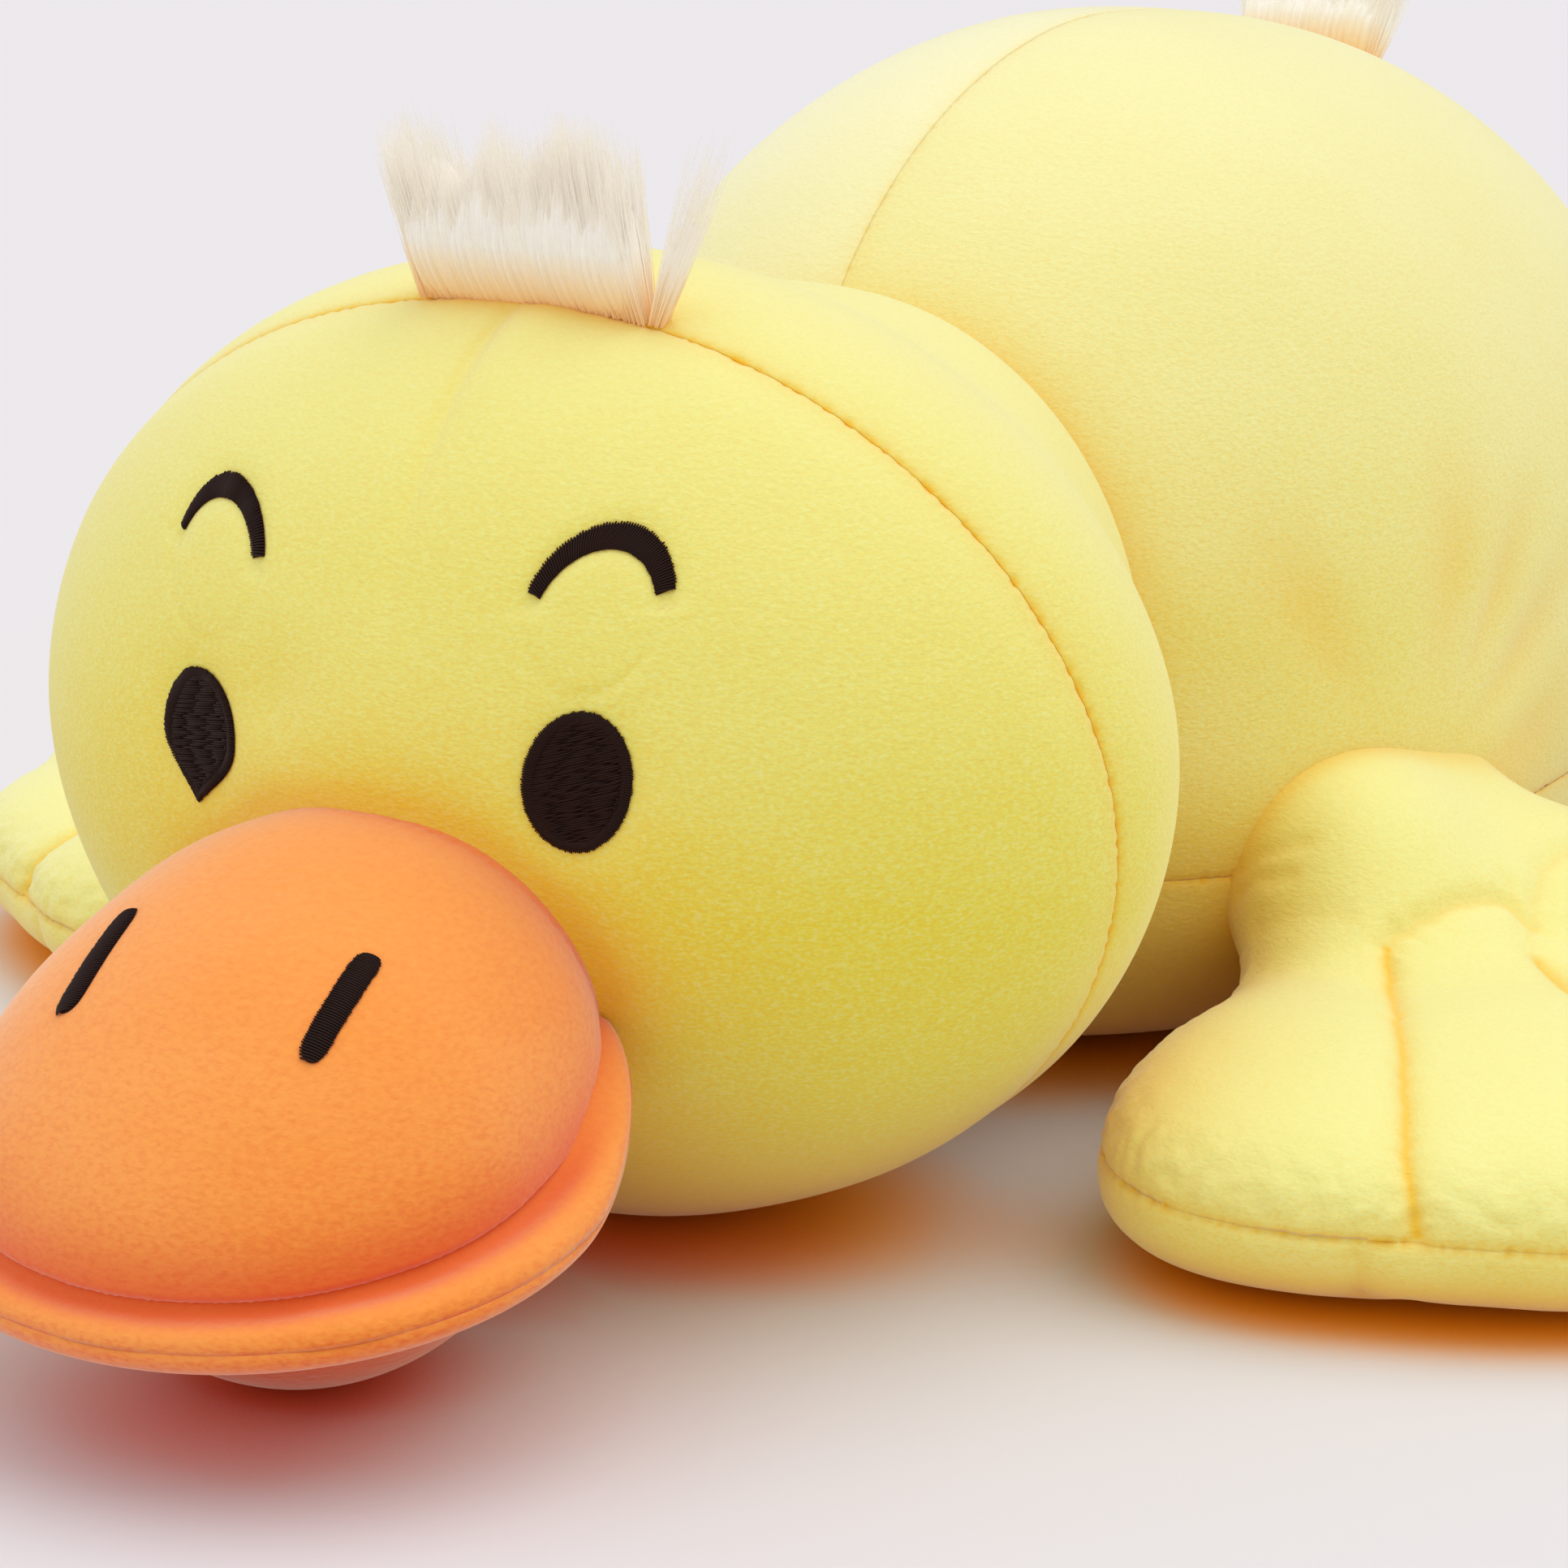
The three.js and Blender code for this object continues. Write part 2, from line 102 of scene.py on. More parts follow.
def easedStart(count, start):  # 0 to 1, closer together at 0
    s = np.linspace(0, 1, count)
    return (1 - start) * s + start * (1 - np.cos(0.5 * np.pi * s))


def swell(value):  # 0 to 1 to 0, smooth
    return np.exp(-value * value)


def treeOf(points):  # finds the nearest of the points
    tree = KDTree(len(points))
    for index, point in enumerate(points):
        tree.insert(point, index)
    tree.balance()
    return tree


def lumps(points, size, seed):  # soft noise between about -1 and 1
    flat = points.reshape(-1, 3) / size + seed * 17.3
    return np.array([noise.noise(p) for p in flat]).reshape(points.shape[:-1])


def eggPoints(form, columns, rows, grow=0.0):
    theta = np.linspace(0, np.pi, rows + 1)[:, None]
    phi = np.linspace(0, 2 * np.pi, columns, endpoint=False)[None, :]
    x = np.sin(theta) * np.cos(phi)
    y = -np.cos(theta) * np.ones_like(phi)
    z = np.sin(theta) * np.sin(phi)
    power = form.get("fullness", 2)
    size = (np.abs(x) ** power + np.abs(y) ** power + np.abs(z) ** power) ** (1 / power)
    along = y / size * (np.where(y < 0, form["front"], form["back"]) + grow)
    high = z / size * (np.where(z < 0, form["lower"], form["upper"]) + grow)
    narrowing = 1 - form.get("taper", 0) * along / form["front"]
    return np.stack([x / size * (form["side"] + grow) * narrowing, along, high], axis=-1)


def eggLevel(form, points):  # below 1 inside the egg
    x, y, z = points[..., 0], points[..., 1], points[..., 2]
    around = np.hypot(x / form["side"], y / np.where(y < 0, form["front"], form["back"]))
    high = np.abs(z) / np.where(z < 0, form["lower"], form["upper"])
    power = np.where(z < 0, form.get("lowFullness", 2), 2)
    return (around ** power + high ** power) ** (1 / power)


def eggNormals(form, points):
    x, y, z = points[..., 0], points[..., 1], points[..., 2]
    along = np.where(y < 0, form["front"], form["back"])
    high = np.where(z < 0, form["lower"], form["upper"])
    power = np.where(z < 0, form.get("lowFullness", 2), 2)
    around = np.maximum(np.hypot(x / form["side"], y / along), 1e-6) ** (power - 2)
    upward = np.sign(z) * np.abs(z / high) ** (power - 1) / high
    return unit(np.stack([around * x / form["side"] ** 2, around * y / along ** 2, upward], axis=-1))


# seams: a seam is a line of points, and cloth dips towards it
def seamLine(points, spacing=0.5, closed=False):
    points = np.array(points, float)
    if closed:
        points = np.vstack([points, points[:1]])
    steps = np.concatenate([[0], np.cumsum(lengthOf(np.diff(points, axis=0)))])
    stations = np.linspace(0, steps[-1], max(2, int(steps[-1] / spacing)))
    line = np.stack([np.interp(stations, steps, points[:, k]) for k in range(3)], axis=1)
    return {"points": line, "along": stations, "tree": treeOf(line), "length": steps[-1]}


def nearSeam(line, points):
    found = [line["tree"].find(p) for p in points.reshape(-1, 3)]
    distance = np.array([f[2] for f in found]).reshape(points.shape[:-1])
    along = line["along"][[f[1] for f in found]].reshape(points.shape[:-1])
    return distance, along


def stitched(along):  # 0 to 1 along a seam, with stitches that a hand has pulled unevenly
    wander = 0.24 * np.sin(along * 0.37) + 0.17 * np.sin(along * 1.13 + 1)
    tight = 0.62 + 0.38 * np.sin(along * 0.53 + 0.7) * np.sin(along * 0.19 + 2)
    return tight * (0.5 + 0.5 * np.cos(2 * np.pi * (along / seam["pitch"] + wander)))


def seamDip(distance, along, depth=None, pull=None):
    depth = seam["depth"] if depth is None else depth
    pull = seam["pull"] if pull is None else pull
    rolled = 1 - np.clip(distance / seam["roll"], 0, 1)
    dip = depth * (1 - np.sqrt(1 - rolled ** 2))
    dip = dip + seam["softDepth"] * swell(distance / seam["softReach"])
    return dip + pull * stitched(along) * swell(distance / seam["pullReach"])


def seamShade(distance, along, reach=seam["paintedGlowReach"]):  # 0 to 1: how much painted shade shows in and round a seam
    line = (seam["line"] + seam["stitch"] * stitched(along)) * swell(distance / seam["lineReach"])
    return np.clip(line + seam["glow"] * swell(distance / reach), 0, 1)


# meshes
def intoScene(name, data):
    made = bpy.data.objects.new(name, data)
    bpy.context.collection.objects.link(made)
    return made


def attributeOf(mesh, name, values, kind="FLOAT", field="value"):
    mesh.attributes.new(name, kind, "POINT").data.foreach_set(field, values)


def meshPiece(name, points, faces, material, shade=None, edges=()):
    mesh = bpy.data.meshes.new(name)
    mesh.from_pydata((np.asarray(points) * mm).tolist(), edges, faces)
    # painted shade, per point, along seams, folds and hollows
    if shade is not None:
        attributeOf(mesh, "crease", shade)
    if material:
        mesh.materials.append(material)
    return intoScene(name, mesh)


def edited(mesh, change):
    work = bmesh.new()
    work.from_mesh(mesh)
    change(work)
    work.to_mesh(mesh)
    work.free()


def smooth(piece):
    piece.data.polygons.foreach_set("use_smooth", [True] * len(piece.data.polygons))
    return piece


def tidyMesh(piece, merge=1e-7):
    def change(work):
        bmesh.ops.remove_doubles(work, verts=work.verts, dist=merge)
        bmesh.ops.recalc_face_normals(work, faces=work.faces)

    edited(piece.data, change)
    smooth(piece).data.update()
    return piece


def flatEnds(piece, count):  # the last faces are a cloth's cut edges, which keep their own shading
    rounded = np.ones(len(piece.data.polygons), dtype=bool)
    rounded[len(rounded) - count :] = False
    piece.data.polygons.foreach_set("use_smooth", rounded)
    return piece


def gridNormals(grid, around, inside):
    across = np.roll(grid, -1, axis=1) - np.roll(grid, 1, axis=1) if around else np.gradient(grid, axis=1)
    normals = np.cross(across, np.gradient(grid, axis=0))
    size = lengthOf(normals)
    outward = unit(grid - np.array(inside))
    if np.sum(unit(normals) * outward * (size > 1e-6)[..., None]) < 0:
        normals = -normals
    return np.where((size > 1e-6)[..., None], unit(normals), outward)


def gridFaces(rows, columns, around, offset=0):
    starts = [offset + r * columns for r in range(rows - 1)]
    pairs = [(c, (c + 1) % columns) for c in range(columns if around else columns - 1)]
    return [(r + c, r + d, r + columns + d, r + columns + c) for r in starts for c, d in pairs]


def panelShell(name, grid, around, inside, material, shade):  # cloth with closed edges
    rows, columns = grid.shape[:2]
    step = cloth["liningStep"]
    lining = grid - gridNormals(grid, around, inside) * cloth["thickness"]
    rowPicks = list(range(0, rows - 1, step)) + [rows - 1]
    columnPicks = list(range(0, columns if around else columns - 1, step)) + ([] if around else [columns - 1])
    inner = lining[np.ix_(rowPicks, columnPicks)]
    points = np.vstack([grid.reshape(-1, 3), inner.reshape(-1, 3)])
    offset = rows * columns
    faces = gridFaces(rows, columns, around) + gridFaces(len(rowPicks), len(columnPicks), around, offset)

    walls = len(faces)

    def edgeFace(outerRun, innerRun):
        faces.append(tuple(outerRun) + tuple(reversed(innerRun)))

    picked = len(columnPicks)
    for row, innerRow in ((0, 0), (rows - 1, len(rowPicks) - 1)):
        if lengthOf(np.ptp(grid[row], axis=0)) < 1e-6:
            continue
        pairs = list(zip(range(picked), columnPicks))
        follow = pairs[1:] + ([(picked, columns)] if around else [])
        for (i, c), (j, d) in zip(pairs, follow):
            outer = [row * columns + k % columns for k in range(c, d + 1)]
            edgeFace(outer, [offset + innerRow * picked + i, offset + innerRow * picked + j % picked])
    if not around:
        for column, innerColumn in ((0, 0), (columns - 1, picked - 1)):
            for i in range(len(rowPicks) - 1):
                outer = [k * columns + column for k in range(rowPicks[i], rowPicks[i + 1] + 1)]
                edgeFace(outer, [offset + i * picked + innerColumn, offset + (i + 1) * picked + innerColumn])
    shades = np.concatenate([shade.ravel(), np.zeros(inner.size // 3)])
    piece = tidyMesh(meshPiece(name, points, faces, material, shades))
    return flatEnds(piece, len(faces) - walls)


def closedGrid(name, grid, material):  # a body from pole to pole
    rows, columns = grid.shape[:2]
    return tidyMesh(meshPiece(name, grid.reshape(-1, 3), gridFaces(rows, columns, True), material))


def evaluated(piece):  # the piece with its modifiers made real
    seen = piece.evaluated_get(bpy.context.evaluated_depsgraph_get())
    mesh = bpy.data.meshes.new_from_object(seen)
    old = piece.data
    piece.modifiers.clear()
    piece.data = mesh
    if old.users == 0:
        bpy.data.meshes.remove(old)
    mesh.name = piece.name
    return piece


def ofVertices(piece, field):
    values = np.empty(len(piece.data.vertices) * 3)
    piece.data.vertices.foreach_get(field, values)
    return values.reshape(-1, 3)


def meshPoints(piece):
    return ofVertices(piece, "co") / mm


def meshNormals(piece):
    return ofVertices(piece, "normal")


def setPoints(piece, points):
    piece.data.vertices.foreach_set("co", (points * mm).ravel())
    piece.data.update()


def relaxed(points, edges, rounds, share=0.5):
    first, second = edges[:, 0], edges[:, 1]
    size = len(points)
    count = np.bincount(first, minlength=size) + np.bincount(second, minlength=size)

    def total(k):
        return np.bincount(first, points[second, k], size) + np.bincount(second, points[first, k], size)

    for _ in range(rounds):
        middle = np.stack([total(k) for k in range(3)], axis=1) / np.maximum(count, 1)[:, None]
        points = points + share * (middle - points)
    return points


def edgesOf(piece):
    edges = np.empty(len(piece.data.edges) * 2, dtype=np.int64)
    piece.data.edges.foreach_get("vertices", edges)
    return edges.reshape(-1, 2)


def joinedForm(name, grids, voxel):
    points, faces = [], []
    for grid in grids:
        rows, columns = grid.shape[:2]
        faces += gridFaces(rows, columns, True, sum(len(p) for p in points))
        points.append(grid.reshape(-1, 3))
    piece = tidyMesh(meshPiece(name, np.vstack(points), faces, None))
    remesh = piece.modifiers.new("joined", "REMESH")
    remesh.mode = "VOXEL"
    remesh.voxel_size = voxel * mm
    return evaluated(piece)


def capped(grid):  # both open ends closed to a point
    ends = [np.broadcast_to(grid[row].mean(axis=0), grid[row].shape)[None] for row in (0, -1)]
    return np.concatenate([ends[0], grid, ends[1]])


stuffing = {"voxel": 4.0, "inset": 5.0, "lumps": 1.2, "lumpSize": 13, "lowest": 2.5}


def stuffed(piece, node, bodyNames, blendEnds=None, stop=None, inset=stuffing["inset"]):  # loose fibre
    points = relaxed(meshPoints(piece), edgesOf(piece), 4)
    setPoints(piece, points)
    inset = inset + stuffing["lumps"] * lumps(points, stuffing["lumpSize"], 31)
    points = points - meshNormals(piece) * inset[:, None]
    points[:, 2] = np.maximum(points[:, 2], stuffing["lowest"])
    setPoints(piece, stop(points) if stop else points)
    piece.data.materials.append(fill)
    smooth(piece)
    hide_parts(node)
    if blendEnds:
        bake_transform(piece)
    else:
        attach(piece, bodyNames[0])


# nodes: an input is set or linked by its label in camelCase, or by i and its number
def labelOf(key):  # baseColor stands for Base Color
    words = "".join(" " + letter if letter.isupper() else letter for letter in key)
    return (words[0].upper() + words[1:]).replace("Ior", "IOR")


def setInputs(tree, made, **inputs):
    for key, value in inputs.items():
        target = made.inputs[int(key[1:]) if key[1:].isdigit() else labelOf(key)]
        if isinstance(value, bpy.types.NodeSocket):
            tree.links.new(value, target)
        else:
            target.default_value = value


def addNode(tree, kind, settings=None, **inputs):
    made = tree.nodes.new(kind)
    for key, value in (settings or {}).items():
        setattr(made, key, value)
    setInputs(tree, made, **inputs)
    return made


class Tree:  # a geometry node tree that is written down line by line
    def __init__(self, name, inputs):
        self.group = bpy.data.node_groups.new(name, "GeometryNodeTree")
        self.group.interface.new_socket("Geometry", in_out="INPUT", socket_type="NodeSocketGeometry")
        for label, kind in inputs:
            self.group.interface.new_socket(label, in_out="INPUT", socket_type="NodeSocket" + kind)
        self.group.interface.new_socket("Geometry", in_out="OUTPUT", socket_type="NodeSocketGeometry")
        self.given = self.group.nodes.new("NodeGroupInput").outputs

    def node(self, kind, settings=None, **inputs):
        return addNode(self.group, kind, settings, **inputs)

    def maths(self, operation, a, b=0.0):
        return self.node("ShaderNodeMath", {"operation": operation}, i0=a, i1=b).outputs[0]

    def vectors(self, operation, a, b, output=0):
        return self.node("ShaderNodeVectorMath", {"operation": operation}, i0=a, i1=b).outputs[output]

    def scaled(self, vector, factor):
        return self.node("ShaderNodeVectorMath", {"operation": "SCALE"}, i0=vector, scale=factor).outputs[0]

    def attribute(self, name):
        read = self.node("GeometryNodeInputNamedAttribute", {"data_type": "FLOAT_VECTOR"}, name=name)
        return read.outputs[0]

    def stored(self, geometry, name, value, kind="FLOAT_VECTOR"):
        settings = {"data_type": kind, "domain": "POINT"}
        inputs = {"geometry": geometry, "name": name, "value": value}
        return self.node("GeometryNodeStoreNamedAttribute", settings, **inputs).outputs[0]

    def swept(self, curve, radius, sides):  # a tube along a curve
        sized = self.node("GeometryNodeSetCurveRadius", curve=curve, radius=radius).outputs[0]
        ring = self.node("GeometryNodeCurvePrimitiveCircle", resolution=sides, radius=1.0).outputs[0]
        tube = self.node("GeometryNodeCurveToMesh", curve=sized, profileCurve=ring, fillCaps=True)
        if "Scale" in tube.inputs:
            self.group.links.new(radius, tube.inputs["Scale"])
        return tube.outputs[0]

    def ended(self, geometry):
        real = self.node("GeometryNodeRealizeInstances", geometry=geometry).outputs[0]
        painted = self.node("GeometryNodeSetMaterial", geometry=real, material=self.given["Material"])
        end = self.group.nodes.new("NodeGroupOutput")
        self.group.links.new(painted.outputs[0], end.inputs[0])
        return self.group


def threadTree():  # every chain of edges becomes one stitch that stands up in its middle
    inputs = [("Radius", "Float"), ("Arch", "Float"), ("Steps", "Int"), ("Material", "Material")]
    tree = Tree("thread", inputs)
    curve = tree.node("GeometryNodeMeshToCurve", mesh=tree.given["Geometry"]).outputs[0]
    fine = tree.node("GeometryNodeResampleCurve", curve=curve, count=tree.given["Steps"]).outputs[0]
    share = tree.node("GeometryNodeSplineParameter").outputs["Factor"]
    middle = tree.maths("SUBTRACT", tree.maths("MULTIPLY", share, 2.0), 1.0)
    hump = tree.maths("SUBTRACT", 1.0, tree.maths("POWER", tree.maths("ABSOLUTE", middle), 2.5))
    rise = tree.scaled(tree.scaled(tree.attribute("lift"), tree.given["Arch"]), hump)
    moved = tree.node("GeometryNodeSetPosition", geometry=fine, offset=rise).outputs[0]
    thin = tree.maths("ADD", 0.7, tree.maths("MULTIPLY", hump, 0.3))
    thin = tree.maths("MULTIPLY", tree.given["Radius"], thin)
    return tree.ended(tree.swept(moved, thin, 5))


def furTree():  # strands stand on the faces of a root strip
    inputs = [(name, "Float") for name in ("Density", "Length", "Flare", "Lean", "Clump", "Radius")]
    inputs += [(name, "Vector") for name in ("Up", "Across", "Ahead", "Middle")]
    tree = Tree("fur", inputs + [("Seed", "Int"), ("Material", "Material")])
    given = tree.given
    seed = given["Seed"]

    def times(a, b):
        return tree.maths("MULTIPLY", a, b)

    def plus(a, b):
        return tree.maths("ADD", a, b)

    faces = {"mesh": given["Geometry"], "density": given["Density"], "seed": seed}
    spots = tree.node("GeometryNodeDistributePointsOnFaces", **faces).outputs["Points"]
    kept = tree.stored(spots, "root", tree.node("GeometryNodeInputPosition").outputs[0])
    chance = tree.node(
        "FunctionNodeRandomValue", {"data_type": "FLOAT_VECTOR"}, min=(-1, -1, -1), max=(1, 1, 1), seed=seed
    ).outputs[0]
    kept = tree.stored(kept, "chance", chance)
    line = tree.node("GeometryNodeCurvePrimitiveLine", start=(0, 0, 0), end=(0, 0, 1)).outputs[0]
    strand = tree.node("GeometryNodeResampleCurve", curve=line, count=7).outputs[0]
    many = tree.node("GeometryNodeInstanceOnPoints", points=kept, instance=strand).outputs[0]
    real = tree.node("GeometryNodeRealizeInstances", geometry=many).outputs[0]
    share = tree.node("GeometryNodeSplineParameter").outputs["Factor"]
    root, chance = tree.attribute("root"), tree.attribute("chance")

    def field(scale):
        texture = tree.node("ShaderNodeTexNoise", vector=root, scale=scale, detail=1.0)
        return tree.vectors("SUBTRACT", texture.outputs["Color"], (0.5, 0.5, 0.5))

    wide, fine = field(150.0), field(700.0)
    size = plus(0.97, times(tree.node("ShaderNodeSeparateXYZ", i0=wide).outputs[2], 0.55))
    size = plus(size, times(tree.node("ShaderNodeSeparateXYZ", i0=chance).outputs[0], 0.12))
    size = times(size, given["Length"])
    fromMiddle = tree.vectors("SUBTRACT", root, given["Middle"])
    aside = tree.vectors("DOT_PRODUCT", fromMiddle, given["Across"], "Value")
    ahead = tree.vectors("DOT_PRODUCT", fromMiddle, given["Ahead"], "Value")
    bend = tree.maths("POWER", share, 1.6)
    outward = tree.scaled(given["Across"], times(plus(times(aside, given["Flare"]), given["Lean"]), share))
    puff = times(times(ahead, 1.6), times(share, tree.maths("SUBTRACT", 1.35, share)))
    forward = tree.scaled(given["Ahead"], puff)
    rise = tree.scaled(given["Up"], times(size, share))
    waves = tree.scaled(tree.vectors("ADD", wide, tree.scaled(fine, 0.55)), times(given["Clump"], bend))
    stray = tree.scaled(chance, times(times(given["Clump"], 0.09), bend))
    place = tree.vectors("ADD", tree.vectors("ADD", root, rise), tree.vectors("ADD", outward, forward))
    place = tree.vectors("ADD", place, tree.vectors("ADD", waves, stray))
    bent = tree.node("GeometryNodeSetPosition", geometry=real, position=place).outputs[0]
    bent = tree.stored(bent, "share", share, "FLOAT")
    thin = times(given["Radius"], plus(0.12, tree.maths("POWER", tree.maths("SUBTRACT", 1.0, share), 0.6)))
    return tree.ended(tree.swept(bent, thin, 3))


trees = {"thread": threadTree(), "fur": furTree()}


def grown(piece, treeName, values):  # runs a tree on a piece and keeps what it makes
    modifier = piece.modifiers.new(treeName, "NODES")
    modifier.node_group = trees[treeName]
    for item in trees[treeName].interface.items_tree:
        if item.item_type == "SOCKET" and item.in_out == "INPUT" and item.name in values:
            modifier[item.identifier] = values[item.name]
    piece.update_tag()
    evaluated(piece)
    piece.data.polygons.foreach_set("use_smooth", [treeName == "thread"] * len(piece.data.polygons))
    return piece


def merged(name, pieces):  # several meshes as one
    mesh = bpy.data.meshes.new(name)
    edited(mesh, lambda work: [work.from_mesh(piece.data) for piece in pieces])
    for material in pieces[0].data.materials:
        mesh.materials.append(material)
    for piece in pieces:
        bpy.data.objects.remove(piece)
    return intoScene(name, mesh)


# materials
def newMaterial(name):
    material = bpy.data.materials.new(name)
    material.use_nodes = True
    return material, material.node_tree, material.node_tree.nodes["Principled BSDF"]


def mixed(tree, share, *colours):
    inputs = {f"i{6 + k}": (*c, 1) if isinstance(c, tuple) else c for k, c in enumerate(colours)}
    return addNode(tree, "ShaderNodeMix", {"data_type": "RGBA"}, factor=share, **inputs).outputs[2]


def ranged(tree, value, low, high, top=1.0):
    ends = {"fromMin": low, "fromMax": high, "toMax": top}
    return addNode(tree, "ShaderNodeMapRange", value=value, **ends).outputs[0]


pile = {
    "grain": 2200,
    "napSize": 30,  # millimetres between patches that are brushed the other way
    "shelter": 0.042,  # painted shade: pile this close to other cloth or the floor takes the shade colour
    "sheen": 0.5,
    "gloss": 0.25,
    "strokes": (0.5, 0.5, 1.0),  # the pile lies in short level strokes
    "light": (0.5, 0.72, 0.42),  # the part of the grain, and how strongly, of light and of dark hairs
    "dark": (0.52, 0.3, 0.34),
    "bloom": (-0.15, 0.95, 0.7),  # painted top light: from which upward normal to which, and how strongly, the paler colour shows where the cloth faces up
    # painted shade: from which ambient occlusion to which, and how strongly, the shade colour shows
    "deep": (0.82, 0.15, 0.9),
}


def plush(name, colour, nap, bloom, crease, sheenTint, sheen=pile["sheen"], coarse=1.0):
    # colour is the pile, nap where it is brushed the other way, the pale colour both its light hairs and a
    # painted top light where it faces up, the deep colour both its dark hairs and painted shade in a seam,
    # fold or hollow
    material, tree, shader = newMaterial(name)
    where = addNode(tree, "ShaderNodeTexCoord").outputs["Object"]
    strokes = addNode(tree, "ShaderNodeVectorMath", {"operation": "MULTIPLY"}, i0=where, i1=pile["strokes"])

    def noiseOf(scale, detail, rough=0.55):
        inputs = {"vector": strokes.outputs[0], "scale": scale, "detail": detail, "roughness": rough}
        return addNode(tree, "ShaderNodeTexNoise", **inputs).outputs["Fac"]

    patches = mixed(tree, ranged(tree, noiseOf(1000 / pile["napSize"], 3), 0.40, 0.70), colour, nap)
    grain = noiseOf(pile["grain"] / coarse, 2)
    low, high, top = pile["dark"]
    hairs = mixed(tree, ranged(tree, grain, *pile["light"]), patches, bloom)
    hairs = mixed(tree, ranged(tree, grain, low, high, top * coarse), hairs, crease)
    # painted top light: cloth that faces up takes the paler colour
    normal = addNode(tree, "ShaderNodeNewGeometry").outputs["Normal"]
    upward = addNode(tree, "ShaderNodeSeparateXYZ", i0=normal).outputs["Z"]
    topLit = mixed(tree, ranged(tree, upward, *pile["bloom"]), hairs, bloom)
    # painted shade along seams, folds and hollows, read from the mesh's attribute
    sewn = addNode(tree, "ShaderNodeAttribute", {"attribute_name": "crease"}).outputs["Fac"]
    seamed = mixed(tree, sewn, topLit, crease)
    # painted shade where other cloth or the floor is close, by ambient occlusion
    openness = addNode(tree, "ShaderNodeAmbientOcclusion", {"samples": 4}, distance=pile["shelter"])
    height = noiseOf(pile["grain"] * 0.6 / coarse, 3, 0.6)
    bump = addNode(tree, "ShaderNodeBump", strength=0.45, distance=0.0005, height=height).outputs["Normal"]
    painted = mixed(tree, ranged(tree, openness.outputs["AO"], *pile["deep"]), seamed, crease)
    setInputs(tree, shader, baseColor=painted, normal=bump, roughness=0.75, ior=1.5)
    setInputs(tree, shader, specularIorLevel=pile["gloss"])
    setInputs(tree, shader, sheenWeight=sheen, sheenRoughness=0.5, sheenTint=(*sheenTint, 1))
    return material


fibre = {
    "grain": 900,
    "shade": 0.93,
    "gloss": 0.12,
    "rootShare": 0.4,  # the painted shade at the root fades out over this share of a strand
    "glow": 0.1,  # painted glow: the fur gives out light of its own, standing in for light that comes through it
}


def plainFibre(name, colour, roughness, sheen, rootShade=None):
    material, tree, shader = newMaterial(name)
    where = addNode(tree, "ShaderNodeTexCoord").outputs["Object"]
    grain = addNode(tree, "ShaderNodeTexNoise", vector=where, scale=fibre["grain"]).outputs["Fac"]
    painted = mixed(tree, grain, tuple(c * fibre["shade"] for c in colour), colour)
    if rootShade:
        # painted shade: the strands darken to a tan towards their roots
        share = addNode(tree, "ShaderNodeAttribute", {"attribute_name": "share"}).outputs["Fac"]
        painted = mixed(tree, ranged(tree, share, 0, fibre["rootShare"]), rootShade, painted)
        # painted glow: the fur gives out a little light of its own
        setInputs(tree, shader, emissionColor=painted, emissionStrength=fibre["glow"])
    setInputs(tree, shader, baseColor=painted, roughness=roughness, sheenWeight=sheen)
    setInputs(tree, shader, specularIorLevel=fibre["gloss"])
    return material


headPlush = plush(
    "headPlush",
    colour=(0.86, 0.755, 0.06),
    nap=(0.88, 0.81, 0.12),
    bloom=(0.93, 0.89, 0.38),
    crease=(0.94, 0.52, 0.005),
    sheenTint=(1.0, 1.0, 0.85),
)
bodyPlush = plush(
    "bodyPlush",
    colour=(0.89, 0.81, 0.20),
    nap=(0.92, 0.86, 0.30),
    bloom=(0.93, 0.89, 0.46),
    crease=(0.95, 0.52, 0.008),
    sheenTint=(1.0, 1.0, 0.9),
)
# the right panel's pile lies the other way and looks paler from this side: its paler colours are painted
# sheen
bodyPalePlush = plush(
    "bodyPalePlush",
    colour=(0.91, 0.85, 0.32),
    nap=(0.94, 0.89, 0.42),
    bloom=(0.95, 0.91, 0.56),
    crease=(0.92, 0.62, 0.06),
    sheenTint=(1.0, 1.0, 0.9),
    sheen=0.6,
)
wingPlush = plush(
    "wingPlush",
    colour=(0.89, 0.83, 0.19),
    nap=(0.92, 0.88, 0.28),
    bloom=(0.92, 0.90, 0.38),
    crease=(0.94, 0.56, 0.02),
    sheenTint=(1.0, 1.0, 0.9),
)
billPlush, footPlush = (
    plush(
        name,
        colour=(0.93, 0.225, 0.02),
        nap=(0.96, 0.33, 0.08),
        bloom=(0.99, 0.38, 0.06),
        crease=(0.80, 0.08, 0.006),
        sheenTint=(1.0, 0.8, 0.65),
        sheen=0.8,
        coarse=1.4,
    )
    for name in ("billPlush", "footPlush")
)
thread = plainFibre("blackThread", (0.021, 0.007, 0.004), 0.45, 0.02)
fur = plainFibre("creamFur", (0.95, 0.905, 0.82), 0.8, 0.35, (0.93, 0.64, 0.30))
fill = plainFibre("fibreFill", (0.92, 0.91, 0.88), 0.9, 0.3)
print("materials made")


